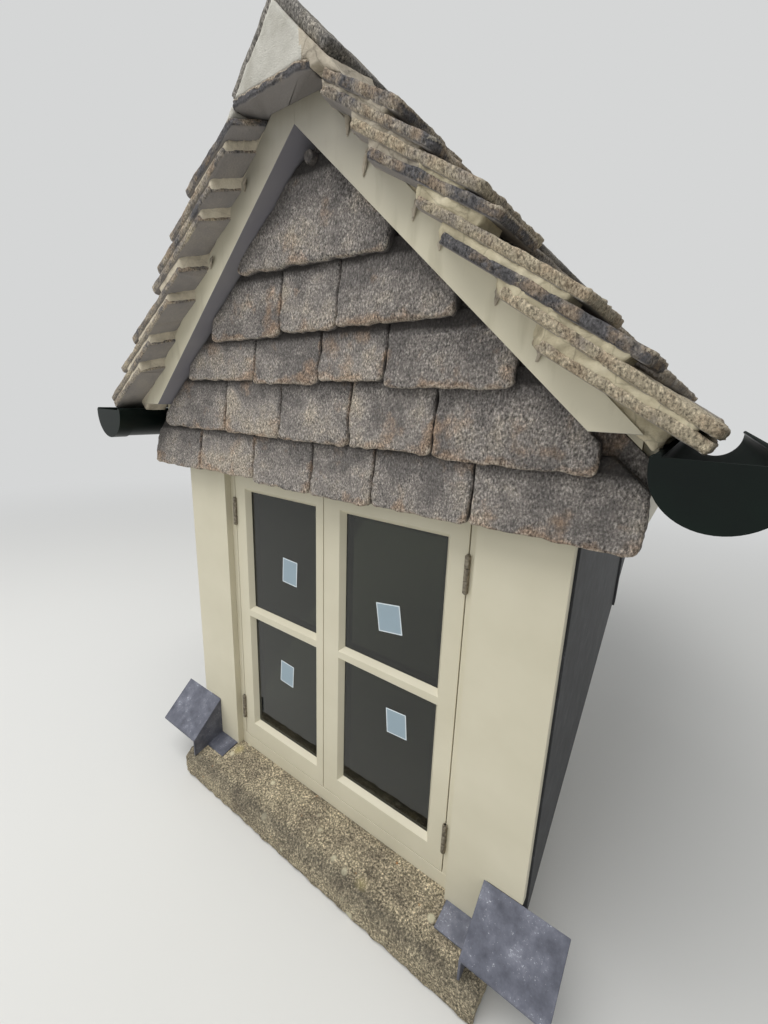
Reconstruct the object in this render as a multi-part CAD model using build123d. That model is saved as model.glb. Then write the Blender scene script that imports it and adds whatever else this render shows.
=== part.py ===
from build123d import *
from math import atan, cos, radians, sin, tan
import os

# Gabled dormer window with a stone sill, a pair of casements, hung stone slates,
# stone slate roof slopes, lead-clad cheeks and half-round gutters.
# Frame: X to the right seen from outside, Y into the house, Z up.
# Origin: on the underside of the stone sill, on the middle line, in the plane of the face boards.
# Heights below are above the top of the sill. Offsets are square to the roof slope, from the
# line of the barge boards' lower edges.

# Stone sill
SILL_END_INSET = 37.0
SILL_HEIGHT = 90.0
SILL_PROUD = 108.0
SILL_BACK = 112.0
SILL_FALL = 20.0

# Window frame and face boards
BOARD_THICK = 18.0
FRAME_MARGIN = 18.0
BOARD_WIDTH = 159.0
NOTCH_WIDTH = 73.0
NOTCH_HEIGHT = 123.0
FRAME_DEPTH = 77.0
FRAME_REBATE = 340.0
JAMB_WIDTH = 60.0
FRAME_SILL_HEIGHT = 39.0
FRAME_HEAD_BOTTOM = 852.0
FRAME_HEAD_HEIGHT = 60.0
STOP = 12.0

# Casement sashes, glass and hinges
SASH_THICK = 45.0
SASH_GAP = 2.0
MEETING_LINE = -18.0
MEETING_TONGUE = 14.0
OUTER_STILE = 49.0
LEFT_MEETING_STILE = 33.0
RIGHT_MEETING_STILE = 57.0
BOTTOM_RAIL = 62.0
TOP_RAIL = 52.0
BAR_BOTTOM = 436.0
BAR_HEIGHT = 38.0
MOULDING = 10.0
MOULDING_DEPTH = 14.0
GLASS_THICK = 24.0
GLASS_COVER = 12.0
GLASS_CLEARANCE = 2.0
BEAD_WIDTH = 10.0
HINGE_HEIGHT = 76.0
HINGE_RISE = 97.0
HINGE_DROP = 111.0
KNUCKLE_RADIUS = 5.5
KNUCKLE_PROUD = 3.0
LEAF_THICK = 1.6
LEAF_DEPTH = 34.0

# Cheeks, from the room outwards
LINING_THICK = 12.0
STUD_DEPTH = 95.0
STUD_WIDTH = 47.0
STUD_SPACING = 400.0
CHEEK_BOARD_THICK = 18.0
LEAD_THICK = 3.0
LEAD_FRONT_GAP = 3.0
WELT_WIDTH = 14.0
WELT_PROUD = 5.0
WELT_SPACING = 560.0

# Roof of the dormer
PITCH = 42.0
EAVES_RISE = 40.7
EAVES_OVERHANG = 65.0
BARGE_APEX_DEPTH = 60.0
BARGE_FOOT_DEPTH = 42.0
BARGE_THICK = 58.0
BARGE_PROUD = 72.0
BARGE_CLEARANCE = 19.0
DECK_TOP = 40.0
ROOF_BOARD_THICK = 18.0
RAFTER_DEPTH = 72.0
RAFTER_WIDTH = 45.0
RAFTER_SPACING = 380.0
RIDGE_BOARD_THICK = 25.0
RIDGE_BOARD_DEPTH = 120.0
PLATE_HEIGHT = 70.0
BIRDSMOUTH = 34.0
FASCIA_THICK = 18.0
SOFFIT_THICK = 12.0
CEILING_THICK = 12.0
JOIST_HEIGHT = 45.0

# Stone slates, verges and ridge
COURSES = 8
FIRST_TAIL = 141.0
SLATE_OVERHANG = 69.0
SLATE_BED = 46.0
STEP = 18.0
VERGE_SLATE_THICK = 14.0
VERGE_PROUD = 53.0
FIRST_SLATE_DROP = 6.2
MORTAR_SET_BACK = 6.0
MORTAR_TAIL_BACK = 22.0
APEX_SLATE_THICK = 14.0
APEX_SLATE_LEFT_COVER = 2.5
APEX_SLATE_RIGHT_GAP = 29.5
APEX_SLATE_PROUD = 48.0
RIDGE_THICK = 18.0
RIDGE_PITCH = 44.0
RIDGE_HALF = 118.0
RIDGE_PROUD = 112.0
RIDGE_STONE_LENGTH = 437.0
RIDGE_JOINT = 8.0
RIDGE_BED = 8.6
RIDGE_BED_WIDTH = 30.0
RIDGE_INFILL_BACK = 50.0
RIDGE_POINTING = 3.0
RIDGE_POINTING_MARGIN = 7.0
FLANK_REACH = 116.0

# Verge slates from the ridge down, and one more under the last: how far the tail lies below
# its course's, the length, and the offsets of the underside at the head and at the tail.
# The head of the first follows from the apex slate.
VERGE_SLATES = (
    (0.0, 176.0, None, 108.0),
    (-15.0, 237.0, 56.0, 103.0),
    (-16.0, 241.0, 57.0, 104.0),
    (-66.0, 225.0, 45.0, 97.0),
    (-10.0, 265.0, 46.0, 98.0),
    (-8.0, 294.0, 36.0, 95.0),
    (0.0, 279.0, 41.0, 90.0),
    (5.0, 206.0, 27.0, 72.0),
)

# Hung slates of the gable
GABLE_DROPS = (527.0, 413.0, 320.0, 207.0)
GABLE_TOP_DROP = 64.0
GABLE_END_GAP = 47.0
GABLE_SLATE_PROUD = 48.0
GABLE_SLATE_THICK = 20.0
GABLE_BACKING = 14.0
GABLE_BACKING_OFFSET = 22.0
GABLE_BASE_COVER = 3.0

# Gutters
GUTTER_RADIUS = 62.0
GUTTER_WALL = 5.0
GUTTER_SIDE = 9.0
GUTTER_GAP = 5.0
GUTTER_DROP = 5.0
GUTTER_FRONT = -135.0
GUTTER_LENGTH = 960.0
GUTTER_BEAD = 4.0
STOP_END_THICK = 6.0
STOP_END_COLLAR = 35.0
COLLAR_THICK = 3.0
BRACKET_WIDTH = 25.0
BRACKET_THICK = 4.0
BRACKET_PLACES = (60.0, 400.0, 740.0)
BRACKET_PLATE_HEIGHT = 60.0
SEAT_CLEARANCE = 0.3

# Main roof that the dormer stands in, and the leadwork at the front corners
MAIN_PITCH = 43.0
SADDLE_THICK = 5.0
SADDLE_WIDTH = 166.0
SADDLE_PROUD = 97.0
SADDLE_FALL = 90.0
SILL_LEAD_WIDTH = 75.0
SILL_LEAD_PROUD = 54.0
SILL_LEAD_THICK = 4.0

# Inside window board
WINDOW_BOARD_DEPTH = 70.0
WINDOW_BOARD_THICK = 22.0

# Places that follow from the sizes above
BASE = SILL_HEIGHT
FRAME_FACE = BOARD_THICK
FRAME_BACK = FRAME_FACE + FRAME_DEPTH
SASH_BACK = FRAME_FACE + SASH_THICK
MAIN_START = FRAME_FACE
BOARD_INNER = FRAME_REBATE + FRAME_MARGIN
BOARD_OUTER = BOARD_INNER + BOARD_WIDTH
SILL_HALF = BOARD_OUTER - SILL_END_INSET
NOTCH_INNER = BOARD_OUTER - NOTCH_WIDTH
JAMB_OUTER = FRAME_REBATE + JAMB_WIDTH
HEAD_TOP = FRAME_HEAD_BOTTOM + FRAME_HEAD_HEIGHT
STUD_INNER = JAMB_OUTER
STUD_OUTER = STUD_INNER + STUD_DEPTH
LINING_INNER = STUD_INNER - LINING_THICK
CHEEK_OUTER = STUD_OUTER + CHEEK_BOARD_THICK
LEAD_OUTER = CHEEK_OUTER + LEAD_THICK
EAVES_HALF = BOARD_OUTER + EAVES_OVERHANG
FASCIA_OUTER = EAVES_HALF + FASCIA_THICK
BARGE_BACK = -BARGE_PROUD + BARGE_THICK
VERGE_FRONT = -BARGE_PROUD - VERGE_PROUD
DECK_BOTTOM = DECK_TOP - ROOF_BOARD_THICK
RAFTER_BOTTOM = DECK_BOTTOM - RAFTER_DEPTH
STEP_FOOT = DECK_TOP + SLATE_BED
TAIL_TOP = STEP_FOOT + STEP
SLOPE = radians(PITCH)
MAIN_SLOPE = radians(MAIN_PITCH)
BEHIND = 2600.0
SLIVER = 200.0
SOFFIT_TOP = FRAME_HEAD_BOTTOM + EAVES_RISE
SOFFIT_BOTTOM = SOFFIT_TOP - SOFFIT_THICK
APEX_HEIGHT = SOFFIT_TOP + EAVES_HALF * tan(SLOPE) - RAFTER_BOTTOM / cos(SLOPE)
RIDGE_SLOPE = radians(RIDGE_PITCH)
RIDGE_FOOT = RIDGE_HALF - RIDGE_THICK * sin(RIDGE_SLOPE)
COVER_TOP = APEX_HEIGHT + STEP_FOOT / cos(SLOPE)
FIRST_TAIL_X = FIRST_TAIL * cos(SLOPE) + TAIL_TOP * sin(SLOPE)
FIRST_TAIL_HEIGHT = APEX_HEIGHT - FIRST_TAIL * sin(SLOPE) + TAIL_TOP * cos(SLOPE)
COVER_FALL = (COVER_TOP - FIRST_TAIL_HEIGHT) / FIRST_TAIL_X
APEX_SLATE_TOP = COVER_TOP - RIDGE_FOOT * COVER_FALL + RIDGE_BED
APEX_SLATE_BOTTOM = APEX_SLATE_TOP - APEX_SLATE_THICK
APEX_SLATE_LEFT = RIDGE_FOOT + APEX_SLATE_LEFT_COVER
APEX_SLATE_RIGHT = RIDGE_FOOT - APEX_SLATE_RIGHT_GAP
RIDGE_TOP = APEX_SLATE_TOP + RIDGE_FOOT * tan(RIDGE_SLOPE) + RIDGE_THICK / cos(RIDGE_SLOPE)
GABLE_BOTTOMS = [FRAME_HEAD_BOTTOM] + [APEX_HEIGHT - drop for drop in GABLE_DROPS]


def rake_height(x, offset):
    """Height of the line that lies offset above the lower edge of the barge boards."""
    return APEX_HEIGHT - abs(x) * tan(SLOPE) + offset / cos(SLOPE)


def rake_x(height, offset):
    return (APEX_HEIGHT + offset / cos(SLOPE) - height) / tan(SLOPE)


def rake_point(along, offset):
    """A point of the right slope: along it from the apex, and offset square to it."""
    x = along * cos(SLOPE) + offset * sin(SLOPE)
    return x, APEX_HEIGHT - along * sin(SLOPE) + offset * cos(SLOPE)


def main_height(y):
    """Height of the top of the main rafters, on which the soles of the cheeks lie."""
    return (y - MAIN_START) * tan(MAIN_SLOPE)


def main_reach(height):
    return MAIN_START + height / tan(MAIN_SLOPE)


PLATE_TOP = rake_height(STUD_OUTER, RAFTER_BOTTOM) + BIRDSMOUTH
PLATE_BOTTOM = PLATE_TOP - PLATE_HEIGHT
GUTTER_TOP = rake_height(FASCIA_OUTER, DECK_TOP) - GUTTER_DROP
GUTTER_MIDDLE = GUTTER_TOP - GUTTER_SIDE
GUTTER_CENTRE = FASCIA_OUTER + GUTTER_GAP + GUTTER_RADIUS
BARGE_CUT = GUTTER_TOP + BARGE_CLEARANCE
LAST_TAIL = (FASCIA_OUTER + SLATE_OVERHANG - TAIL_TOP * sin(SLOPE)) / cos(SLOPE)
BARGE_FOOT = (EAVES_HALF - BARGE_FOOT_DEPTH * sin(SLOPE)) / cos(SLOPE)


def block(x0, x1, y0, y1, z0, z1):
    """A box between two corners, with heights above the top of the stone sill."""
    size = (x1 - x0, y1 - y0, z1 - z0)
    return Pos(x0, y0, z0 + BASE) * Box(*size, align=(Align.MIN, Align.MIN, Align.MIN))


def front_prism(outline, y0, y1):
    """An outline of (x, height) points seen from the front, carried from y0 to y1."""
    corners = [(x, y0, z + BASE) for x, z in outline]
    return extrude(make_face(Polyline(*corners, close=True)), amount=y1 - y0, dir=(0, 1, 0))


def side_prism(outline, x0, x1):
    """An outline of (y, height) points seen from the side, carried from x0 to x1."""
    corners = [(x0, y, z + BASE) for y, z in outline]
    return extrude(make_face(Polyline(*corners, close=True)), amount=x1 - x0, dir=(1, 0, 0))


def trough(outer, inner, y0, y1):
    """Half a tube along Y at the right gutter's place, with short upright sides."""
    place = Pos(GUTTER_CENTRE, (y0 + y1) / 2, GUTTER_MIDDLE + BASE) * Rot(90, 0, 0)
    shape = place * Cylinder(outer, y1 - y0)
    low, high = GUTTER_MIDDLE, GUTTER_MIDDLE + 2 * outer
    shape = shape - block(GUTTER_CENTRE - outer, GUTTER_CENTRE + outer, y0, y1, low, high)
    shape = shape + block(GUTTER_CENTRE - outer, GUTTER_CENTRE + outer, y0, y1, low, GUTTER_TOP)
    if inner > 0:
        shape = shape - place * Cylinder(inner, y1 - y0)
        shape = shape - block(GUTTER_CENTRE - inner, GUTTER_CENTRE + inner, y0, y1, low, GUTTER_TOP)
    return shape


def other_side(shape):
    return mirror(shape, about=Plane.YZ)


def both_sides(shapes):
    return shapes + [other_side(shape) for shape in shapes]


def largest(shape):
    return shape.solids().sort_by(SortBy.VOLUME)[-1]


def trimmed(shape):
    """The shape with what would lie inside the main roof cut away."""
    deep = -800.0
    inside = [
        (MAIN_START, 0),
        (BEHIND, main_height(BEHIND)),
        (BEHIND, deep),
        (MAIN_START, deep),
    ]
    return shape - side_prism(inside, -2 * FASCIA_OUTER, 2 * FASCIA_OUTER)


def stone_sill():
    """Weathered sill: level under the frame, falling to a blunt front edge."""
    outline = [
        (-SILL_PROUD, -BASE),
        (SILL_BACK, -BASE),
        (SILL_BACK, 0),
        (0, 0),
        (-SILL_PROUD + SILL_FALL, -SILL_FALL),
        (-SILL_PROUD, -2 * SILL_FALL),
    ]
    return side_prism(outline, -SILL_HALF, SILL_HALF)


def frame_sill():
    body = block(-JAMB_OUTER, JAMB_OUTER, FRAME_FACE, FRAME_BACK, 0, FRAME_SILL_HEIGHT)
    stop_top = FRAME_SILL_HEIGHT + STOP
    return body + block(-FRAME_REBATE, FRAME_REBATE, SASH_BACK, FRAME_BACK, FRAME_SILL_HEIGHT, stop_top)


def frame_head():
    body = block(-JAMB_OUTER, JAMB_OUTER, FRAME_FACE, FRAME_BACK, FRAME_HEAD_BOTTOM, HEAD_TOP)
    stop_bottom = FRAME_HEAD_BOTTOM - STOP
    return body + block(-FRAME_REBATE, FRAME_REBATE, SASH_BACK, FRAME_BACK, stop_bottom, FRAME_HEAD_BOTTOM)


def frame_jamb():
    body = block(FRAME_REBATE, JAMB_OUTER, FRAME_FACE, FRAME_BACK, FRAME_SILL_HEIGHT, FRAME_HEAD_BOTTOM)
    low = FRAME_SILL_HEIGHT + STOP
    high = FRAME_HEAD_BOTTOM - STOP
    return body + block(FRAME_REBATE - STOP, FRAME_REBATE, SASH_BACK, FRAME_BACK, low, high)


SASH_LOW = FRAME_SILL_HEIGHT + SASH_GAP
SASH_HIGH = FRAME_HEAD_BOTTOM - SASH_GAP
SASH_SIDE = FRAME_REBATE - SASH_GAP
SASH_MIDDLE = FRAME_FACE + SASH_THICK / 2
LEFT_LEAF_EDGE = MEETING_LINE - SASH_GAP / 2
RIGHT_LEAF_EDGE = MEETING_LINE + SASH_GAP / 2
GLASS_FACE = FRAME_FACE + MOULDING_DEPTH
GLASS_BACK = GLASS_FACE + GLASS_THICK
LEFT_PANE = (-SASH_SIDE + OUTER_STILE, LEFT_LEAF_EDGE - LEFT_MEETING_STILE)
RIGHT_PANE = (RIGHT_LEAF_EDGE + RIGHT_MEETING_STILE, SASH_SIDE - OUTER_STILE)
LOWER_PANE = (SASH_LOW + BOTTOM_RAIL, BAR_BOTTOM)
UPPER_PANE = (BAR_BOTTOM + BAR_HEIGHT, SASH_HIGH - TOP_RAIL)
PANES = [(x, z) for x in (LEFT_PANE, RIGHT_PANE) for z in (LOWER_PANE, UPPER_PANE)]


def pane_hole(pane_x, pane_z):
    """The hole of one pane: a splayed edge outside, the sight size, and the rebate inside."""
    x0, x1 = pane_x
    z0, z1 = pane_z
    face = Plane(origin=((x0 + x1) / 2, FRAME_FACE, (z0 + z1) / 2 + BASE), x_dir=(1, 0, 0), z_dir=(0, -1, 0))
    width = x1 - x0
    height = z1 - z0
    outside = face * Rectangle(width + 2 * MOULDING, height + 2 * MOULDING)
    inside = face.offset(-MOULDING_DEPTH) * Rectangle(width, height)
    splay = loft([outside.face(), inside.face()])
    cover = GLASS_COVER
    return splay + block(x0 - cover, x1 + cover, GLASS_FACE, SASH_BACK, z0 - cover, z1 + cover)


def sash_left():
    leaf = block(-SASH_SIDE, LEFT_LEAF_EDGE, FRAME_FACE, SASH_BACK, SASH_LOW, SASH_HIGH)
    tongue_end = LEFT_LEAF_EDGE + MEETING_TONGUE
    tongue_face = SASH_MIDDLE + SASH_GAP / 2
    leaf = leaf + block(LEFT_LEAF_EDGE, tongue_end, tongue_face, SASH_BACK, SASH_LOW, SASH_HIGH)
    return leaf - pane_hole(LEFT_PANE, LOWER_PANE) - pane_hole(LEFT_PANE, UPPER_PANE)


def sash_right():
    leaf = block(RIGHT_LEAF_EDGE, SASH_SIDE, FRAME_FACE, SASH_BACK, SASH_LOW, SASH_HIGH)
    rebate_end = RIGHT_LEAF_EDGE + MEETING_TONGUE
    rebate_face = SASH_MIDDLE - SASH_GAP / 2
    leaf = leaf - block(RIGHT_LEAF_EDGE, rebate_end, rebate_face, SASH_BACK, SASH_LOW, SASH_HIGH)
    return leaf - pane_hole(RIGHT_PANE, LOWER_PANE) - pane_hole(RIGHT_PANE, UPPER_PANE)


def glass_pane(pane_x, pane_z):
    edge = GLASS_COVER - GLASS_CLEARANCE
    low, high = pane_z[0] - edge, pane_z[1] + edge
    return block(pane_x[0] - edge, pane_x[1] + edge, GLASS_FACE, GLASS_BACK, low, high)


def glazing_bead(pane_x, pane_z):
    """The four-sided bead that holds one pane in its rebate from inside."""
    x0, x1 = pane_x[0] - GLASS_COVER, pane_x[1] + GLASS_COVER
    z0, z1 = pane_z[0] - GLASS_COVER, pane_z[1] + GLASS_COVER
    bead = BEAD_WIDTH
    outer = block(x0, x1, GLASS_BACK, SASH_BACK, z0, z1)
    return outer - block(x0 + bead, x1 - bead, GLASS_BACK, SASH_BACK, z0 + bead, z1 - bead)


def hinge(height):
    """A butt hinge of the right sash: round knuckle outside, thin leaf in the gap."""
    x = FRAME_REBATE - SASH_GAP / 2
    y = FRAME_FACE - KNUCKLE_PROUD
    low, high = height - HINGE_HEIGHT / 2, height + HINGE_HEIGHT / 2
    knuckle = Pos(x, y, height + BASE) * Cylinder(KNUCKLE_RADIUS, HINGE_HEIGHT)
    reach = 2 * KNUCKLE_RADIUS
    knuckle = knuckle - block(x - reach, x + reach, FRAME_FACE, FRAME_FACE + reach, low, high)
    return knuckle + block(x - LEAF_THICK / 2, x + LEAF_THICK / 2, y, y + LEAF_DEPTH, low, high)


def face_board():
    """The right face board, notched at its outer foot round the main roof."""
    outline = [
        (BOARD_INNER, 0),
        (NOTCH_INNER, 0),
        (NOTCH_INNER, NOTCH_HEIGHT),
        (BOARD_OUTER, NOTCH_HEIGHT),
        (BOARD_OUTER, SOFFIT_TOP),
        (BOARD_INNER, SOFFIT_TOP),
    ]
    return front_prism(outline, 0, BOARD_THICK)


def cheek_outline(y0, top):
    """A cheek from the side: upright in front, level on top, sloped along the main roof."""
    return [(y0, main_height(y0)), (y0, top), (main_reach(top), top)]


def cheek_frame():
    """Corner post, sole, studs and eaves plate of the right cheek, joined."""
    post = block(STUD_INNER, STUD_OUTER, FRAME_FACE, FRAME_FACE + 2 * STUD_WIDTH, 0, PLATE_BOTTOM)
    plate = block(STUD_INNER, STUD_OUTER, FRAME_FACE, main_reach(PLATE_TOP), PLATE_BOTTOM, PLATE_TOP)
    rise = STUD_WIDTH / cos(MAIN_SLOPE)
    sole_end = main_reach(PLATE_BOTTOM)
    sole_outline = [
        (MAIN_START, 0),
        (sole_end, PLATE_BOTTOM),
        (sole_end - rise / tan(MAIN_SLOPE), PLATE_BOTTOM),
        (MAIN_START, rise),
    ]
    frame = plate + side_prism(sole_outline, STUD_INNER, STUD_OUTER)
    y = FRAME_FACE + STUD_SPACING
    while y + STUD_WIDTH < main_reach(PLATE_BOTTOM - rise):
        frame = frame + block(STUD_INNER, STUD_OUTER, y, y + STUD_WIDTH, main_height(y), PLATE_BOTTOM)
        y += STUD_SPACING
    return trimmed(frame) + post


def cheek_boarding():
    return side_prism(cheek_outline(FRAME_FACE, PLATE_BOTTOM), STUD_OUTER, CHEEK_OUTER)


def cheek_lead():
    """The lead on the right cheek, with an upright welt at each joint of its sheets."""
    lead = side_prism(cheek_outline(FRAME_FACE, SOFFIT_BOTTOM), CHEEK_OUTER, LEAD_OUTER)
    y = FRAME_FACE + LEAD_FRONT_GAP
    welt_outer = LEAD_OUTER + WELT_PROUD
    while y + WELT_WIDTH < main_reach(SOFFIT_BOTTOM - WELT_SPACING / 4):
        lead = lead + block(LEAD_OUTER, welt_outer, y, y + WELT_WIDTH, 0, SOFFIT_BOTTOM)
        y += WELT_SPACING
    return trimmed(lead)


def cheek_lining():
    return side_prism(cheek_outline(FRAME_BACK, HEAD_TOP), LINING_INNER, STUD_INNER)


def lintel():
    """Timber over the window head, between the corner posts."""
    top = PLATE_BOTTOM + PLATE_HEIGHT / 2
    return block(-STUD_INNER, STUD_INNER, FRAME_FACE, FRAME_BACK, HEAD_TOP, top)


def ceiling():
    """Ceiling board with its joists, which end against the cheek frames."""
    board_top = HEAD_TOP + CEILING_THICK
    joist_top = board_top + JOIST_HEIGHT
    end = main_reach(joist_top)
    board = block(-STUD_INNER, STUD_INNER, FRAME_BACK, end, HEAD_TOP, board_top)
    y = FRAME_BACK
    while y + STUD_WIDTH < main_reach(HEAD_TOP):
        board = board + block(-STUD_INNER, STUD_INNER, y, y + STUD_WIDTH, board_top, joist_top)
        y += STUD_SPACING
    return trimmed(board)


def window_board():
    """Inside board, on the back of the stone sill and against the frame."""
    top = FRAME_SILL_HEIGHT + STOP
    reach = FRAME_BACK + WINDOW_BOARD_DEPTH
    board = block(-LINING_INNER, LINING_INNER, FRAME_BACK, reach, top - WINDOW_BOARD_THICK, top)
    return board + block(-LINING_INNER, LINING_INNER, FRAME_BACK, SILL_BACK, 0, top - WINDOW_BOARD_THICK)


def gable_panel():
    outline = [
        (-EAVES_HALF, SOFFIT_TOP),
        (EAVES_HALF, SOFFIT_TOP),
        (EAVES_HALF, rake_height(EAVES_HALF, DECK_BOTTOM)),
        (0, rake_height(0, DECK_BOTTOM)),
        (-EAVES_HALF, rake_height(EAVES_HALF, DECK_BOTTOM)),
    ]
    return front_prism(outline, 0, BOARD_THICK)


def gable_course(bottom, top, half_bottom, half_top):
    """One course of hung slates, thick at its tail and leaning back to the course above."""
    profile = [
        (-GABLE_SLATE_PROUD, bottom),
        (-GABLE_BACKING, bottom),
        (-GABLE_BACKING, top),
        (-GABLE_BACKING - GABLE_SLATE_THICK, top),
    ]
    outline = [(-half_bottom, bottom), (half_bottom, bottom), (half_top, top), (-half_top, top)]
    course = side_prism(profile, -half_bottom, half_bottom)
    return course & front_prism(outline, -GABLE_SLATE_PROUD, 0)


def gable_slates():
    """The hung slates: a backing layer up to the rakes and five stepped courses on it."""
    low = GABLE_BOTTOMS[0]
    half = FASCIA_OUTER + GABLE_BASE_COVER
    backing = [
        (-half, low),
        (half, low),
        (half, rake_height(half, GABLE_BACKING_OFFSET)),
        (0, rake_height(0, GABLE_BACKING_OFFSET)),
        (-half, rake_height(half, GABLE_BACKING_OFFSET)),
    ]
    slates = front_prism(backing, -GABLE_BACKING, 0)
    tops = GABLE_BOTTOMS[1:] + [APEX_HEIGHT - GABLE_TOP_DROP]
    for bottom, top in zip(GABLE_BOTTOMS, tops):
        half_bottom = min(rake_x(bottom, 0) - GABLE_END_GAP, half)
        half_top = min(rake_x(top, 0) - GABLE_END_GAP / 2, half_bottom)
        slates = slates + gable_course(bottom, top, half_bottom, half_top)
    return slates


def barge_board():
    """The right barge board: wider at the apex, mitred there, and cut level at the eaves."""
    top = APEX_SLATE_BOTTOM
    outline = [
        (0, rake_height(0, 0)),
        (rake_x(BARGE_CUT, 0), BARGE_CUT),
        (rake_x(BARGE_CUT, BARGE_FOOT_DEPTH), BARGE_CUT),
        (rake_x(top, BARGE_APEX_DEPTH), top),
        (0, top),
    ]
    return front_prism(outline, -BARGE_PROUD, BARGE_BACK)


def rafters():
    """Ridge board and rafter pairs, with their feet notched over the eaves plates."""
    half = RIDGE_BOARD_THICK / 2
    top = rake_height(half, DECK_BOTTOM)
    low = top - RIDGE_BOARD_DEPTH
    frame = block(-half, half, BOARD_THICK, main_reach(top), low, top)
    outline = [
        (half, rake_height(half, RAFTER_BOTTOM)),
        (EAVES_HALF, rake_height(EAVES_HALF, RAFTER_BOTTOM)),
        (EAVES_HALF, rake_height(EAVES_HALF, DECK_BOTTOM)),
        (half, rake_height(half, DECK_BOTTOM)),
    ]
    seat = block(STUD_INNER, CHEEK_OUTER, 0, BEHIND, 0, PLATE_TOP)
    y = BOARD_THICK
    while y + RAFTER_WIDTH < main_reach(low):
        rafter = front_prism(outline, y, y + RAFTER_WIDTH) - seat
        frame = frame + rafter + other_side(rafter)
        y += RAFTER_SPACING
    return trimmed(frame)


def roof_boarding():
    outline = [
        (0, rake_height(0, DECK_BOTTOM)),
        (EAVES_HALF, rake_height(EAVES_HALF, DECK_BOTTOM)),
        (EAVES_HALF, rake_height(EAVES_HALF, DECK_TOP)),
        (0, rake_height(0, DECK_TOP)),
    ]
    return trimmed(front_prism(outline, BARGE_BACK, BEHIND))


def eaves_box():
    """Soffit and fascia of the right eaves, joined."""
    soffit = block(CHEEK_OUTER, FASCIA_OUTER, BOARD_THICK, BEHIND, SOFFIT_BOTTOM, SOFFIT_TOP)
    outline = [
        (EAVES_HALF, SOFFIT_BOTTOM),
        (FASCIA_OUTER, SOFFIT_BOTTOM),
        (FASCIA_OUTER, rake_height(FASCIA_OUTER, DECK_TOP)),
        (EAVES_HALF, rake_height(EAVES_HALF, DECK_TOP)),
    ]
    return trimmed(soffit + front_prism(outline, 0, BEHIND))


def tails():
    """Distances of the courses' tails down the slope, from the ridge to the eaves."""
    gauge = (LAST_TAIL - FIRST_TAIL) / (COURSES - 1)
    return [FIRST_TAIL + gauge * i for i in range(COURSES)]


def slope_profile():
    """Outline of the stepped covering of the right slope, from the ridge to the eaves."""
    points = [(0, rake_height(0, DECK_TOP)), (0, rake_height(0, STEP_FOOT))]
    for tail in tails():
        points.append(rake_point(tail, TAIL_TOP))
        points.append(rake_point(tail, STEP_FOOT))
    points.append((FASCIA_OUTER, rake_height(FASCIA_OUTER, DECK_TOP)))
    return points


def roof_slates():
    return trimmed(front_prism(slope_profile(), BARGE_BACK, BEHIND))


def verge_lines():
    """Head and tail of each verge slate of the right slope, and its underside's offsets there."""
    places = tails()
    lines = []
    for (shift, length, head_offset, tail_offset), tail in zip(VERGE_SLATES, places[1:] + places[-1:]):
        head = tail + shift - length
        if head_offset is None:
            rise = APEX_SLATE_BOTTOM - FIRST_SLATE_DROP - APEX_HEIGHT
            head_offset = (rise + head * sin(SLOPE)) / cos(SLOPE) - VERGE_SLATE_THICK
        lines.append((head, head + length, head_offset, tail_offset))
    return lines


def underside(line, along):
    """Offset of the underside of a verge slate at a distance down the slope."""
    head, tail, head_offset, tail_offset = line
    return head_offset + (tail_offset - head_offset) * (along - head) / (tail - head)


def verge_slate(line):
    head, tail, head_offset, tail_offset = line
    thick = VERGE_SLATE_THICK
    corners = [
        rake_point(head, head_offset),
        rake_point(tail, tail_offset),
        rake_point(tail, tail_offset + thick),
        rake_point(head, head_offset + thick),
    ]
    return front_prism(corners, VERGE_FRONT, BARGE_BACK)


def verge_slates():
    """The verge slates of the right slope, let in over the barge board at their heads."""
    return [largest(verge_slate(line) - barge_board()) for line in verge_lines()]


def verge_mortar():
    """Mortar of the right verge: wedges between the slates and the bed on the barge board."""
    lines = verge_lines()
    thick = VERGE_SLATE_THICK
    first = lines[0]
    top = APEX_SLATE_BOTTOM
    head_top_x = rake_point(first[0], first[2] + thick)[0]
    fill = [
        (rake_x(top, DECK_TOP), top),
        (head_top_x, top),
        rake_point(first[0], first[2] + thick),
        rake_point(first[0], DECK_TOP),
    ]
    mortar = front_prism(fill, -BARGE_PROUD, BARGE_BACK)
    for upper, lower in zip(lines, lines[1:]):
        head, end = lower[0], upper[1] - MORTAR_TAIL_BACK
        wedge = [
            rake_point(head, underside(upper, head)),
            rake_point(end, underside(upper, end)),
            rake_point(end, underside(lower, end) + thick),
            rake_point(head, underside(lower, head) + thick),
        ]
        mortar = mortar + front_prism(wedge, VERGE_FRONT + MORTAR_SET_BACK, BARGE_BACK)
    ends = [line[0] for line in lines[1:]] + [BARGE_FOOT]
    for line, end in zip(lines, ends):
        bed = [
            rake_point(line[0], DECK_TOP),
            rake_point(end, DECK_TOP),
            rake_point(end, underside(line, end)),
            rake_point(line[0], max(underside(line, line[0]), DECK_TOP + 1)),
        ]
        mortar = mortar + front_prism(bed, -BARGE_PROUD, BARGE_BACK)
    mortar = mortar - barge_board()
    for line in lines:
        mortar = mortar - verge_slate(line)
    return [solid for solid in mortar.solids() if solid.volume > SLIVER]


def apex_slate():
    """The level slate over the meeting of the two barge boards."""
    front = -BARGE_PROUD - APEX_SLATE_PROUD
    left, right = -APEX_SLATE_LEFT, APEX_SLATE_RIGHT
    return block(left, right, front, BARGE_BACK, APEX_SLATE_BOTTOM, APEX_SLATE_TOP)


def ridge_line(x, depth):
    """Height of the line that lies depth below the outer face of the ridge stones."""
    return RIDGE_TOP - abs(x) * tan(RIDGE_SLOPE) - depth / cos(RIDGE_SLOPE)


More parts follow.
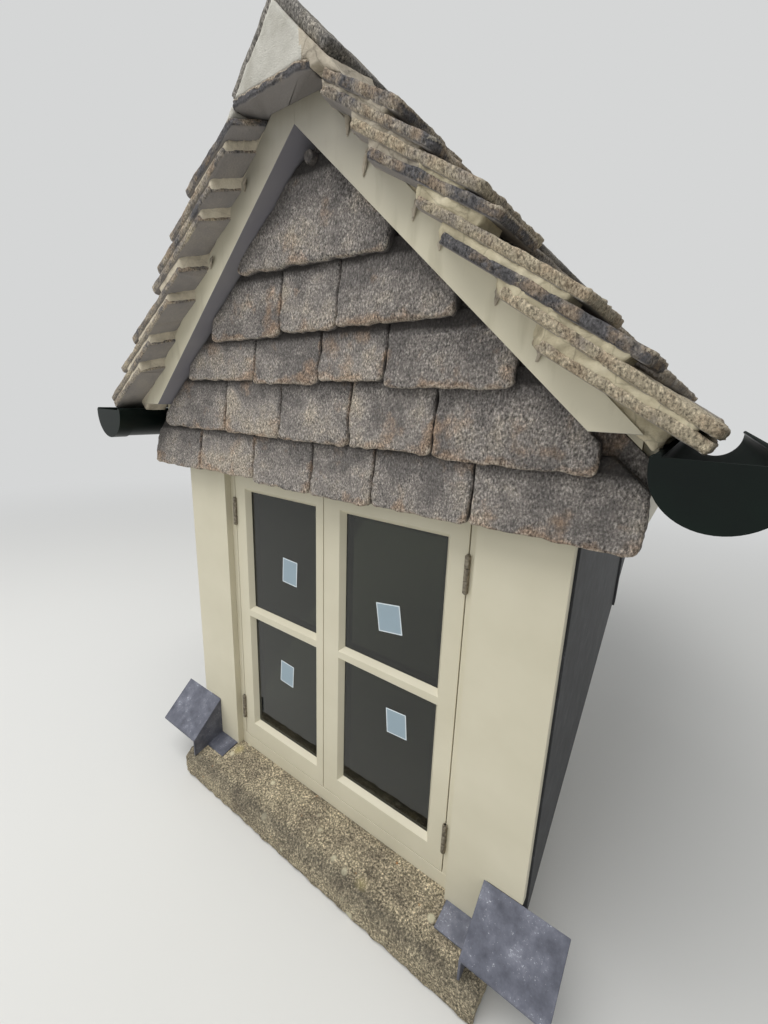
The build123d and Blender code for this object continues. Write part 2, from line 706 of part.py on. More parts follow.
def ridge_stones():
    """The inverted V ridge stones, laid end to end with a narrow joint."""
    outline = [
        (0, ridge_line(0, 0)),
        (RIDGE_HALF, ridge_line(RIDGE_HALF, 0)),
        (RIDGE_FOOT, APEX_SLATE_TOP),
        (0, ridge_line(0, RIDGE_THICK)),
        (-RIDGE_FOOT, APEX_SLATE_TOP),
        (-RIDGE_HALF, ridge_line(RIDGE_HALF, 0)),
    ]
    stones = []
    y = -RIDGE_PROUD
    while y < main_reach(APEX_SLATE_TOP):
        stones += trimmed(front_prism(outline, y, y + RIDGE_STONE_LENGTH - RIDGE_JOINT)).solids()
        y += RIDGE_STONE_LENGTH
    return stones


def ridge_flank(start):
    """Mortar from the right foot of the first ridge stone over the first verge slate."""
    first = verge_lines()[0]
    thick = VERGE_SLATE_THICK
    head_top = rake_point(first[0], first[2] + thick)
    outline = [(start, APEX_SLATE_BOTTOM)]
    if start < RIDGE_FOOT:
        outline += [(start, APEX_SLATE_TOP), (RIDGE_FOOT, APEX_SLATE_TOP)]
    else:
        outline.append((start, APEX_SLATE_TOP + (start - RIDGE_FOOT) / tan(RIDGE_SLOPE)))
    outline += [
        (RIDGE_HALF, ridge_line(RIDGE_HALF, 0)),
        rake_point(FLANK_REACH, underside(first, FLANK_REACH) + thick),
        head_top,
        (head_top[0], APEX_SLATE_BOTTOM),
    ]
    return front_prism(outline, -RIDGE_PROUD - RIDGE_POINTING, BARGE_BACK)


def ridge_mortar():
    """Mortar that closes the front of the ridge, points its end and beds its stones' feet."""
    foot, low = RIDGE_FOOT, APEX_SLATE_TOP
    peak = ridge_line(0, RIDGE_THICK)
    front = -RIDGE_PROUD - RIDGE_POINTING
    mortar = front_prism([(0, peak), (foot, low), (-foot, low)], front, BARGE_BACK)
    margin = RIDGE_POINTING_MARGIN
    point_x = RIDGE_HALF - margin * sin(RIDGE_SLOPE)
    point_low = ridge_line(point_x, margin)
    pointing = [
        (0, ridge_line(0, margin)),
        (point_x, point_low),
        (foot, low),
        (-foot, low),
        (-point_x, point_low),
    ]
    mortar = mortar + front_prism(pointing, front, -RIDGE_PROUD)
    mortar = mortar + ridge_flank(APEX_SLATE_RIGHT) + other_side(ridge_flank(APEX_SLATE_LEFT))
    foot_bed = rake_height(foot, STEP_FOOT)
    middle_bed = rake_height(0, STEP_FOOT)
    bed = [(0, peak), (foot, low), (foot, foot_bed), (0, middle_bed), (-foot, foot_bed), (-foot, low)]
    beds = front_prism(bed, BARGE_BACK, BEHIND)
    inner = RIDGE_FOOT - RIDGE_BED_WIDTH
    beds = beds - block(-inner, inner, RIDGE_INFILL_BACK, BEHIND, 0, RIDGE_TOP)
    covering = front_prism(slope_profile(), BARGE_BACK, BEHIND)
    beds = beds - covering - other_side(covering)
    return largest(mortar + trimmed(beds))


def gutter():
    """Half-round gutter of the right eaves: beaded rims and a stop end in front."""
    back = GUTTER_FRONT + GUTTER_LENGTH
    shell = trough(GUTTER_RADIUS, GUTTER_RADIUS - GUTTER_WALL, GUTTER_FRONT, back)
    plate = trough(GUTTER_RADIUS, 0, GUTTER_FRONT, GUTTER_FRONT + STOP_END_THICK)
    collar_end = GUTTER_FRONT + STOP_END_COLLAR
    collar = trough(GUTTER_RADIUS + COLLAR_THICK, GUTTER_RADIUS - GUTTER_WALL, GUTTER_FRONT, collar_end)
    middle = (GUTTER_FRONT + back) / 2
    rim = Cylinder(GUTTER_BEAD, GUTTER_LENGTH)
    reach = GUTTER_RADIUS - GUTTER_BEAD
    outer_rim = Pos(GUTTER_CENTRE + reach, middle, GUTTER_TOP + BASE) * Rot(90, 0, 0) * rim
    inner_rim = Pos(GUTTER_CENTRE - reach, middle, GUTTER_TOP + BASE) * Rot(90, 0, 0) * rim
    return shell + plate + collar + outer_rim + inner_rim


def gutter_bracket(y):
    """A strap under the gutter with a plate on the fascia."""
    inner = GUTTER_RADIUS + SEAT_CLEARANCE
    strap = trough(inner + BRACKET_THICK, inner, y, y + BRACKET_WIDTH)
    plate_outer = GUTTER_CENTRE - inner
    low = GUTTER_TOP - BRACKET_PLATE_HEIGHT
    plate = block(FASCIA_OUTER, plate_outer, y, y + BRACKET_WIDTH, low, GUTTER_TOP)
    behind = block(0, FASCIA_OUTER, y, y + BRACKET_WIDTH, 0, RIDGE_TOP)
    return strap - behind + plate


def corner_lead():
    """Lead saddle at the right front corner, with its upright side and the lead on the sill."""
    foot = NOTCH_HEIGHT - SADDLE_FALL
    inner = NOTCH_INNER - SADDLE_THICK
    run = SADDLE_PROUD
    saddle_outline = [
        (-run, foot),
        (0, NOTCH_HEIGHT),
        (0, NOTCH_HEIGHT - SADDLE_THICK),
        (-run, foot - SADDLE_THICK),
    ]
    saddle = side_prism(saddle_outline, inner, inner + SADDLE_WIDTH)
    fall = SILL_FALL / (SILL_PROUD - SILL_FALL)
    side_run = min(run, SILL_PROUD - SILL_FALL)
    side_outline = [
        (-run, foot),
        (0, NOTCH_HEIGHT),
        (0, 0),
        (-side_run, -side_run * fall),
        (-run, -side_run * fall),
    ]
    side = side_prism(side_outline, inner, inner + SADDLE_THICK)
    flat_run = SILL_LEAD_PROUD
    flat_outline = [
        (-flat_run, -flat_run * fall),
        (0, 0),
        (0, SILL_LEAD_THICK),
        (-flat_run, SILL_LEAD_THICK - flat_run * fall),
    ]
    return saddle + side + side_prism(flat_outline, inner - SILL_LEAD_WIDTH, inner)


def group(shapes):
    """Like pieces that don't touch, kept together."""
    return Compound(children=[Solid(s.solid().wrapped) for s in shapes])


def write(name, shape):
    export_step(shape, os.path.join("parts", name + ".step"))


def write_pair(name, shape):
    """Write a right-hand piece and its mirror image."""
    write(name + "_right", shape)
    write(name + "_left", other_side(shape))


def main():
    os.makedirs("parts", exist_ok=True)
    write("stone_sill", stone_sill())
    write("frame_sill", frame_sill())
    write("frame_head", frame_head())
    write_pair("frame_jamb", frame_jamb())
    write("sash_left", sash_left())
    write("sash_right", sash_right())
    write("glass_panes", group([glass_pane(x, z) for x, z in PANES]))
    write("glazing_beads", group([glazing_bead(x, z) for x, z in PANES]))
    hinge_heights = (FRAME_SILL_HEIGHT + HINGE_RISE, FRAME_HEAD_BOTTOM - HINGE_DROP)
    write("hinges", group(both_sides([hinge(z) for z in hinge_heights])))
    write_pair("face_board", face_board())
    write("lintel", lintel())
    write("window_board", window_board())
    write_pair("cheek_frame", cheek_frame())
    write_pair("cheek_boarding", cheek_boarding())
    write_pair("cheek_lead", cheek_lead())
    write_pair("cheek_lining", cheek_lining())
    write("ceiling", ceiling())
    write("gable_panel", gable_panel())
    write("gable_slates", gable_slates())
    write_pair("barge_board", barge_board())
    write("rafters", rafters())
    write_pair("roof_boarding", roof_boarding())
    write_pair("eaves_box", eaves_box())
    write_pair("roof_slates", roof_slates())
    slates = verge_slates()
    write("verge_slates_right", group(slates))
    apex = apex_slate()
    write("verge_slates_left", group([largest(other_side(slate) - apex) for slate in slates] + [apex]))
    mortar = verge_mortar()
    write("verge_mortar_right", group(mortar))
    write("verge_mortar_left", group([other_side(solid) for solid in mortar]))
    write("ridge_stones", group(ridge_stones()))
    write("ridge_mortar", ridge_mortar())
    write_pair("gutter", gutter())
    write("gutter_brackets", group(both_sides([gutter_bracket(y) for y in BRACKET_PLACES])))
    write_pair("corner_lead", corner_lead())


main()
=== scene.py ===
import math
import random

import bmesh
import bpy
from mathutils import Matrix, Vector, noise


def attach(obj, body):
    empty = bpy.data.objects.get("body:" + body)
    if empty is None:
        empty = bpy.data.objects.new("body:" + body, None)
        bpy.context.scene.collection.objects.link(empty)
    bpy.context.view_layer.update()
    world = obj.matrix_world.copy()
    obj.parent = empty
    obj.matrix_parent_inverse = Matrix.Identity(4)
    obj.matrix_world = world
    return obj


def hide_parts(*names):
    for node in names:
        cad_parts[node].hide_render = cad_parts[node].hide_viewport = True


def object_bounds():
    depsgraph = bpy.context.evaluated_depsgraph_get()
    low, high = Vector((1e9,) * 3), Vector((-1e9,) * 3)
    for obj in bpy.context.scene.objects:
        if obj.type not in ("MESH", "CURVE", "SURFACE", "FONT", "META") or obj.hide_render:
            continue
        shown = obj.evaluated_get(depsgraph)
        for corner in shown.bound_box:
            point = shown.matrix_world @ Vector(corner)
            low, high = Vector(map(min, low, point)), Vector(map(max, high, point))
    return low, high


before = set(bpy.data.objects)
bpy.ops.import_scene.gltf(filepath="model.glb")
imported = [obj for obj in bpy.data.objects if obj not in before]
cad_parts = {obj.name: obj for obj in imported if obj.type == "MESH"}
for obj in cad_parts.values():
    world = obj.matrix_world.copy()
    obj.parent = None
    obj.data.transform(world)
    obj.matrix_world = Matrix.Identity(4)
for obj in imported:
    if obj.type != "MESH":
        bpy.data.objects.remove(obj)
cad_low, cad_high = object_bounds()

# The dormer's own sizes, in millimetres. x is 0 on its middle line and y in the plane of the
# face boards; heights are above the top of the stone sill. On a roof slope, along runs down
# from the apex and offset is square to the slope, from the barge boards' lower edges.
SILL_HEIGHT = 90.0
PITCH = math.radians(42)
RIDGE_FALL = math.tan(math.radians(44))
APEX_HEIGHT = 1484.0
MAIN_PITCH = math.radians(43)
MAIN_START = 18.0
VERGE_FRONT = -125.0
BARGE_FRONT = -72.0
BARGE_BACK = -14.0
BARGE_FOOT = 774.0
DECK_TOP = 40.0


def point(x, y, height):
    """A point given in millimetres with its height above the sill, in the frame's metres."""
    return Vector((x, y, height + SILL_HEIGHT)) / 1000


def rake_x(height):
    """How far from the middle line the barge boards' lower edges are at a height."""
    return (APEX_HEIGHT - height) / math.tan(PITCH)


def slope_point(side, along, offset, y):
    """A point of a roof slope; side is 1 for the right one and -1 for the left one."""
    x = along * math.cos(PITCH) + offset * math.sin(PITCH)
    height = APEX_HEIGHT - along * math.sin(PITCH) + offset * math.cos(PITCH)
    return point(side * x, y, height)


def main_reach(height):
    """How far back the dormer meets the main roof at a height."""
    return MAIN_START + height / math.tan(MAIN_PITCH)


# Materials

def linear(code):
    """The linear colour of an sRGB hex code."""
    values = [int(code[i:i + 2], 16) / 255 for i in (1, 3, 5)]
    return tuple(v / 12.92 if v <= 0.04045 else ((v + 0.055) / 1.055) ** 2.4 for v in values) + (1.0,)


def cycles(size):
    """Pattern scale, in cycles per metre, for features of that many millimetres."""
    return 1000.0 / size


def join(node, links):
    """Gives each input a value, a source socket or, from a node, that node's first output."""
    for key, value in links.items():
        if isinstance(value, bpy.types.Node):
            value = next(socket for socket in value.outputs if socket.enabled)
        if isinstance(value, bpy.types.NodeSocket):
            node.id_data.links.new(value, node.inputs[key])
        else:
            node.inputs[key].default_value = value


def add(tree, kind, links=None, stops=None, **settings):
    """Adds a shader node: settings are its properties, links what its inputs get, stops its ramp."""
    node = tree.nodes.new("ShaderNode" + kind)
    for key, value in settings.items():
        setattr(node, key, value)
    join(node, links or {})
    if stops:
        ramp = node.color_ramp
        while len(ramp.elements) < len(stops):
            ramp.elements.new(1.0)
        for element, (place, colour) in zip(ramp.elements, stops):
            element.position = place
            element.color = linear(colour) if isinstance(colour, str) else (colour,) * 3 + (1.0,)
    return node


def new_material(name, sockets):
    """A material, its tree and its principled shader, with the values that are the same all over."""
    material = bpy.data.materials.new(name)
    material.use_nodes = True
    tree = material.node_tree
    shader = tree.nodes["Principled BSDF"]
    join(shader, sockets)
    return material, tree, shader


def split_sandstone(name, skin, broken, stained, shelter_and_shade, patch, relief, pits, glint):
    """Split sandstone: blue-grey skin, light grains and dark pits, tan where it is worn.

    skin is its colours from dark to light, and broken and stained those of fresh breaks and of
    stains; the next colour is that of undersides and edges: clean stone on most slates, and
    painted shade, with dark joints, on the hung slates. patch is the size of its stains and
    relief the depth of its grain, in millimetres. pits and glint are how much light dark pits
    and light grains give back. Each slate's own tone comes from its mesh, as does how worn and
    broken a place is; a tone below nothing is painted shade, under the feet of the course above.
    """
    material, tree, shader = new_material(name, {"Roughness": 0.92, "Specular IOR Level": 0.25})
    place = add(tree, "TexCoord").outputs["Object"]
    tone = add(tree, "Attribute", attribute_name="tone").outputs["Fac"]
    wear = add(tree, "Attribute", attribute_name="wear").outputs["Fac"]
    stain = add(tree, "TexNoise", {"Vector": place, "Scale": cycles(patch), "Detail": 6.0, "Roughness": 0.65})
    # grains of 1 mm and clumps of them, drawn at 3.2 mm so that they show; the bed is struck
    # upwards, so that they lie longer that way and lean a little
    struck = add(tree, "Mapping", {"Vector": place, "Rotation": (0.0, 0.35, 0.0), "Scale": (1.1, 1.0, 0.7)})
    grains = add(tree, "TexNoise", {"Vector": struck, "Scale": cycles(3.2), "Detail": 5.0, "Roughness": 0.7})
    blotch = add(tree, "TexNoise", {"Vector": place, "Scale": cycles(patch * 0.6), "Detail": 5.0,
                                    "Roughness": 0.6, "W": 3.0}, noise_dimensions="4D")
    spread = add(tree, "Math", {0: tone, 1: 0.4, 2: stain}, operation="MULTIPLY_ADD")
    base = add(tree, "ValToRGB", {"Fac": spread}, stops=list(zip((0.56, 0.7, 0.84), skin)))
    # tan stains gather where the slate is worn
    near = add(tree, "Math", {0: wear, 1: 0.22, 2: blotch}, operation="MULTIPLY_ADD")
    tan = add(tree, "ValToRGB", {"Fac": near}, stops=[(0.57, 0.0), (0.71, 0.6)])
    colour = add(tree, "Mix", {"Factor": tan, "A": base, "B": linear(stained)}, data_type="RGBA")
    # light grains and dark pits, strongest on worn stone and in patches
    rough_place = add(tree, "Math", {0: wear, 1: 0.45, 2: stain}, operation="MULTIPLY_ADD")
    strength = add(tree, "ValToRGB", {"Fac": rough_place}, stops=[(0.3, 0.55), (0.6, 1.0)])
    grained = add(tree, "ValToRGB", {"Fac": grains}, stops=[(0.38, pits), (0.46, 0.6 + 0.5 * pits), (0.54, 1.0),
                                                            (0.64, glint)])
    colour = add(tree, "Mix", {"Factor": strength, "A": colour, "B": grained}, data_type="RGBA",
                 blend_type="MULTIPLY")
    crumbled = add(tree, "Math", {0: wear, 1: grains}, operation="MULTIPLY")
    # stone broken bare where it is worn; painted shade below the feet of the course above, where the
    # tone is below nothing; and smooth undersides and edges, where the wear is below nothing, in
    # their own colour: clean stone on most slates, and on the hung slates a painted shade under
    # their feet, with their dark joints
    for source, none, full, most, tint in ((crumbled, 0.34, 0.56, 0.8, broken), (tone, -0.1, -0.75, 0.85, "#33302E"),
                                           (wear, -0.2, -0.9, 0.85, shelter_and_shade)):
        amount = add(tree, "MapRange", {"Value": source, "From Min": none, "From Max": full, "To Max": most})
        colour = add(tree, "Mix", {"Factor": amount, "A": colour, "B": linear(tint)}, data_type="RGBA")
    uneven = add(tree, "Math", {0: grains, 1: stain}, operation="ADD")
    height = add(tree, "MapRange", {"Value": amount, "To Min": 1.0, "To Max": 0.3})
    surface = add(tree, "Bump", {"Height": uneven, "Strength": height, "Distance": relief / 1000})
    join(shader, {"Base Color": colour, "Normal": surface})
    return material


def lime_mortar(name, shades, crack_shade):
    """Lime mortar, trowelled: faintly sandy, with paler and dirtier clouds and fine cracks.
    crack_shade is how much light a crack gives back."""
    material, tree, shader = new_material(name, {"Roughness": 0.88, "Specular IOR Level": 0.3})
    place = add(tree, "TexCoord").outputs["Object"]
    clouds = add(tree, "TexNoise", {"Vector": place, "Scale": cycles(45), "Detail": 6.0, "Roughness": 0.65})
    # sand of 1 mm, drawn at 2 mm so that it shows
    sand = add(tree, "TexNoise", {"Vector": place, "Scale": cycles(2), "Detail": 4.0, "Roughness": 0.7})
    base = add(tree, "ValToRGB", {"Fac": clouds}, stops=list(zip((0.3, 0.5, 0.72), shades)))
    # shrinkage cracks about 60 mm apart
    bent = add(tree, "Mix", {"Factor": 0.02, "A": place, "B": clouds.outputs["Color"]}, data_type="VECTOR")
    cells = add(tree, "TexVoronoi", {"Vector": bent, "Scale": cycles(60)}, feature="DISTANCE_TO_EDGE")
    crack = add(tree, "MapRange", {"Value": cells, "From Max": 0.022, "To Min": crack_shade})
    colour = add(tree, "Mix", {"Factor": 1.0, "A": base, "B": crack}, data_type="RGBA", blend_type="MULTIPLY")
    rough = add(tree, "Math", {0: sand, 1: clouds}, operation="ADD")
    surface = add(tree, "Bump", {"Height": rough, "Strength": 0.8, "Distance": 0.002})
    join(shader, {"Base Color": colour, "Normal": surface})
    return material


def cream_paint(name, stained):
    """Satin paint on planed softwood: a faint grain telegraphs through; stained adds run-off,
    painted shade on the undersides and a darker, warmer grey on the top 170 mm below the apex.
    """
    material, tree, shader = new_material(name, {"Roughness": 0.42, "Specular IOR Level": 0.4})
    place = add(tree, "TexCoord").outputs["Object"]
    # grain lines 5 mm apart and some 300 mm long, upright in the boards
    along = add(tree, "Mapping", {"Vector": place, "Scale": (cycles(5), cycles(5), cycles(300))})
    grain = add(tree, "TexNoise", {"Vector": along, "Scale": 1.0, "Detail": 3.0})
    clouds = add(tree, "TexNoise", {"Vector": place, "Scale": cycles(160), "Detail": 4.0})
    base = add(tree, "ValToRGB", {"Fac": clouds}, stops=[(0.3, "#CDC6AE"), (0.7, "#D6CFB8")])
    colour = base
    if stained:
        # streaks some 26 mm wide and 140 mm long
        runs = add(tree, "Mapping", {"Vector": place, "Scale": (cycles(26), cycles(60), cycles(140))})
        streak = add(tree, "TexNoise", {"Vector": runs, "Scale": 1.0, "Detail": 4.0})
        where = add(tree, "ValToRGB", {"Fac": streak}, stops=[(0.55, 0.0), (0.75, 0.45)])
        colour = add(tree, "Mix", {"Factor": where, "A": colour, "B": linear("#A39B80")}, data_type="RGBA")
        # painted shade, grey, on the undersides, and a warmer grey darkening on the top 170 mm below the apex
        normal = add(tree, "SeparateXYZ", {"Vector": add(tree, "NewGeometry").outputs["Normal"]})
        below = add(tree, "MapRange", {"Value": normal.outputs["Z"], "From Min": -0.3, "From Max": -0.6})
        height = add(tree, "SeparateXYZ", {"Vector": place})
        upper = add(tree, "MapRange", {"Value": height.outputs["Z"], "From Min": 1.36, "From Max": 1.53,
                                       "To Max": 0.85})
        cloudy = add(tree, "MapRange", {"Value": clouds, "From Min": 0.3, "From Max": 0.7, "To Min": 0.85})
        for darkening, tint in ((upper, "#7C776D"), (below, "#85838A")):
            where = add(tree, "Math", {0: darkening, 1: cloudy}, operation="MULTIPLY")
            colour = add(tree, "Mix", {"Factor": where, "A": colour, "B": linear(tint)}, data_type="RGBA")
    surface = add(tree, "Bump", {"Height": grain, "Strength": 0.12, "Distance": 0.0008})
    join(shader, {"Base Color": colour, "Normal": surface})
    return material


def sheet_lead(name, shades, roughness, splashed):
    """Milled sheet lead: dull oxide with cloudy patina and soft dents from dressing. splashed
    is how strongly specks of lime show on it."""
    material, tree, shader = new_material(name, {"Roughness": roughness, "Metallic": 0.25})
    place = add(tree, "TexCoord").outputs["Object"]
    clouds = add(tree, "TexNoise", {"Vector": place, "Scale": cycles(45), "Detail": 7.0, "Roughness": 0.65})
    dents = add(tree, "TexNoise", {"Vector": place, "Scale": cycles(30), "Detail": 2.0})
    base = add(tree, "ValToRGB", {"Fac": clouds}, stops=list(zip((0.3, 0.5, 0.7), shades)))
    # specks of lime, 4 mm across and in loose clusters
    specks = add(tree, "TexNoise", {"Vector": place, "Scale": cycles(4), "Detail": 4.0, "Roughness": 0.7})
    clustered = add(tree, "Math", {0: clouds, 1: 0.5, 2: specks}, operation="MULTIPLY_ADD")
    splash = add(tree, "MapRange", {"Value": clustered, "From Min": 0.88, "From Max": 0.96, "To Max": splashed})
    colour = add(tree, "Mix", {"Factor": splash, "A": base, "B": linear("#C4C6CC")}, data_type="RGBA")
    surface = add(tree, "Bump", {"Height": dents, "Strength": 0.35, "Distance": 0.003})
    join(shader, {"Base Color": colour, "Normal": surface})
    return material


def gutter_paint():
    """Gloss paint, dark green, on cast iron whose faint sand texture shows; dull where dirt lies."""
    material, tree, shader = new_material("dark_green_gloss_on_cast_iron", {"Specular IOR Level": 0.2})
    place = add(tree, "TexCoord").outputs["Object"]
    # sand marks of the mould, 3 mm
    sand = add(tree, "TexNoise", {"Vector": place, "Scale": cycles(3), "Detail": 3.0})
    clouds = add(tree, "TexNoise", {"Vector": place, "Scale": cycles(90), "Detail": 4.0})
    base = add(tree, "ValToRGB", {"Fac": clouds}, stops=[(0.35, "#060F0C"), (0.7, "#091711")])
    normal = add(tree, "SeparateXYZ", {"Vector": add(tree, "NewGeometry").outputs["Normal"]})
    dull = add(tree, "MapRange", {"Value": normal.outputs["Z"], "From Min": -0.05, "From Max": 0.25,
                                  "To Min": 0.36, "To Max": 0.95})
    surface = add(tree, "Bump", {"Height": sand, "Strength": 0.2, "Distance": 0.0006})
    join(shader, {"Base Color": base, "Roughness": dull, "Normal": surface})
    return material


def mottled_iron(name, shades, roughness, metallic, size):
    """Old iron or steel, mottled with oxide in spots of that size in millimetres. shades are
    its colours with their places in the mottle."""
    material, tree, shader = new_material(name, {"Roughness": roughness, "Metallic": metallic})
    place = add(tree, "TexCoord").outputs["Object"]
    spots = add(tree, "TexNoise", {"Vector": place, "Scale": cycles(size), "Detail": 5.0})
    base = add(tree, "ValToRGB", {"Fac": spots}, stops=shades)
    join(shader, {"Base Color": base})
    return material


def lichened_limestone(front):
    """Old limestone sill: coarse speckles, pale, orange and yellow lichen, and a dark front arris,
    its shade painted in; front is where its front face is."""
    material, tree, shader = new_material("lichened_limestone", {"Roughness": 0.92, "Specular IOR Level": 0.25})
    place = add(tree, "TexCoord").outputs["Object"]
    clouds = add(tree, "TexNoise", {"Vector": place, "Scale": cycles(70), "Detail": 6.0, "Roughness": 0.7})
    # grains and bits of shell, 4.5 mm
    speckle = add(tree, "TexNoise", {"Vector": place, "Scale": cycles(4.5), "Detail": 6.0, "Roughness": 0.8})
    base = add(tree, "ValToRGB", {"Fac": clouds}, stops=[(0.35, "#857B69"), (0.5, "#9F947D"), (0.66, "#B9AD92")])
    speckled = add(tree, "ValToRGB", {"Fac": speckle}, stops=[(0.38, 0.08), (0.46, 0.55), (0.53, 1.0),
                                                              (0.61, 2.6)])
    colour = add(tree, "Mix", {"Factor": 0.9, "A": base, "B": speckled}, data_type="RGBA", blend_type="MULTIPLY")
    # lichen: pale grey discs of some 22 mm, orange ones of some 14 mm, yellow patches of 60 mm;
    # each has its size, its own pattern, how far out it fades and is full, and its colour
    for size, pattern, fades, full, tint in ((22, 0.0, 0.44, 0.37, "#D6CFB2"), (14, 2.0, 0.33, 0.23, "#A9713C"),
                                             (60, 5.0, 0.37, 0.27, "#B5A877")):
        discs = add(tree, "TexVoronoi", {"Vector": place, "Scale": cycles(size * 1.8), "W": pattern},
                    voronoi_dimensions="4D")
        ragged = add(tree, "Math", {0: speckle, 1: 0.35, 2: discs}, operation="MULTIPLY_ADD")
        spot = add(tree, "MapRange", {"Value": ragged, "From Min": fades, "From Max": full, "To Max": 0.8})
        colour = add(tree, "Mix", {"Factor": spot, "A": colour, "B": linear(tint)}, data_type="RGBA")
    # painted shade in the front 50 mm, over the upper half of the face
    depth = add(tree, "SeparateXYZ", {"Vector": place})
    wander = add(tree, "Math", {0: speckle, 1: 0.03, 2: depth.outputs["Y"]}, operation="MULTIPLY_ADD")
    front_shade = add(tree, "MapRange", {"Value": wander, "From Min": front + 0.052, "From Max": front + 0.03,
                                  "To Max": 0.75})
    arris = add(tree, "MapRange", {"Value": depth.outputs["Z"], "From Min": 0.035, "From Max": 0.075})
    where = add(tree, "Math", {0: front_shade, 1: arris}, operation="MULTIPLY")
    colour = add(tree, "Mix", {"Factor": where, "A": colour, "B": linear("#4A463F")}, data_type="RGBA")
    relief = add(tree, "Math", {0: speckle, 1: clouds}, operation="ADD")
    surface = add(tree, "Bump", {"Height": relief, "Strength": 0.9, "Distance": 0.004})
    join(shader, {"Base Color": colour, "Normal": surface})
    return material


def plain(name, colour, roughness, size, spread):
    """A paint, paper or plastic with faint clouds of that size in millimetres."""
    material, tree, shader = new_material(name, {"Roughness": roughness})
    place = add(tree, "TexCoord").outputs["Object"]
    clouds = add(tree, "TexNoise", {"Vector": place, "Scale": cycles(size), "Detail": 4.0})
    shade = add(tree, "MapRange", {"Value": clouds, "To Min": 1.0 - spread, "To Max": 1.0 + spread})
    tint = add(tree, "Mix", {"Factor": 1.0, "A": linear(colour), "B": shade}, data_type="RGBA",
               blend_type="MULTIPLY")
    join(shader, {"Base Color": tint})
    return material


def sawn_pine():
    """Sawn softwood, a deep brown, darkened as painted shade for its ends under the barge boards'
    feet: growth rings seen as long bands some 9 mm wide, and the boarding's front edges, behind
    the barge boards, with the boards' paint on them."""
    material, tree, shader = new_material("sawn_pine", {"Roughness": 0.75})
    place = add(tree, "TexCoord").outputs["Object"]
    along = add(tree, "Mapping", {"Vector": place, "Scale": (cycles(9), cycles(140), cycles(60))})
    bands = add(tree, "TexNoise", {"Vector": along, "Scale": 1.0, "Detail": 5.0, "Distortion": 0.6})
    # dark browns: painted shade for the ends that show under the barge boards' feet
    base = add(tree, "ValToRGB", {"Fac": bands}, stops=[(0.35, "#5C4833"), (0.5, "#7C6448"), (0.7, "#937A5A")])
    depth = add(tree, "SeparateXYZ", {"Vector": place})
    front = add(tree, "MapRange", {"Value": depth.outputs["Y"], "From Min": BARGE_BACK / 1000 + 0.0008,
                                   "From Max": BARGE_BACK / 1000 + 0.0004})
    colour = add(tree, "Mix", {"Factor": front, "A": base, "B": linear("#D1CAB3")}, data_type="RGBA")
    surface = add(tree, "Bump", {"Height": bands, "Strength": 0.3, "Distance": 0.001})
    join(shader, {"Base Color": colour, "Normal": surface})
    return material


# Hung slates: hand-split sandstone gone blue-grey, tan at the corners, with strong light grains;
# the dark underside colour of their edges is painted shade under their feet, with their dark joints
HUNG_STONE = split_sandstone("hung_split_sandstone", ("#7B7672", "#9E9790", "#B5AA9B"), "#D6CEBE", "#B2957A",
                             "#4B4846", patch=90, relief=5.0, pits=0.25, glint=2.1)
# Roof slates: the same stone, weathered from above, so paler and more tan
ROOF_STONE = split_sandstone("roof_split_sandstone", ("#736E6A", "#948D85", "#ADA496"), "#BFB5A3", "#A4917A",
                             "#9A948E", patch=80, relief=5.0, pits=0.42, glint=1.6)
# Verge slates: tone 0 is a blue-grey crust, tone 1 tan stone with broken faces
VERGE_STONE = split_sandstone("verge_split_sandstone", ("#666465", "#A3998B", "#C0B39A"), "#CDC3AE", "#B09A80",
                              "#8E8985", patch=45, relief=4.5, pits=0.33, glint=1.6)
# Ridge stones: sawn, so smoother, and dark with soot and algae
RIDGE_STONE = split_sandstone("sawn_ridge_stone", ("#5E5B58", "#7A7670", "#97928A"), "#A8A298", "#8F8676",
                              "#9A948E", patch=120, relief=3.0, pits=0.25, glint=2.1)
SILL_STONE = lichened_limestone(min(v.co.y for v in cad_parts["stone_sill"].data.vertices))
# Mortar: fresh and yellow between the right verge's slates, greyer where it is older or smeared;
# the smeared mortar of the left verge is also made paler, painted light in that verge's shade
MORTAR = lime_mortar("trowelled_lime_mortar", ("#A69B82", "#C6BB9E", "#D6CCB2"), 0.72)
SMEARED_MORTAR_PAINTED_LIGHT = lime_mortar("smeared_mortar_painted_light", ("#A89E8B", "#CFC4AE", "#DFD6C1"), 0.85)
RIDGE_MORTAR = lime_mortar("grey_ridge_mortar", ("#A7A397", "#BDBAB0", "#C9C6BC"), 0.97)
CRUMBLED_MORTAR = lime_mortar("crumbled_bedding_mortar", ("#7A7468", "#A99F8E", "#C5BBA8"), 0.65)
# Joinery: cream satin paint, clean on the window, and on the barge boards run down with dirt and
# with painted shade on their undersides
PAINT = cream_paint("cream_satin_paint_on_softwood", False)
BARGE_PAINT = cream_paint("cream_satin_paint_with_run_off_and_painted_shade", True)
# Lead: nearly black on the cheeks, new and blue-grey at the corners
CHEEK_LEAD = sheet_lead("dark_sheet_lead_on_cheeks", ("#232426", "#2D2E30", "#3A3B3E"), 0.6, 0.1)
SADDLE_LEAD = sheet_lead("new_sheet_lead_saddles", ("#454751", "#5F616C", "#7E808B"), 0.5, 0.7)
GUTTER_PAINT = gutter_paint()
# Hinges: plain steel gone dull and brown; bolt: old paint, rusting under dark dirt
STEEL = mottled_iron("weathered_hinge_steel", [(0.3, "#5C5347"), (0.55, "#8A8272"), (0.75, "#A7A092")], 0.55, 0.6, 6)
BOLT_IRON = mottled_iron("rusted_bolt_head", [(0.35, "#34302D"), (0.55, "#55504C"), (0.72, "#7A7168")], 0.75, 0.0, 7)
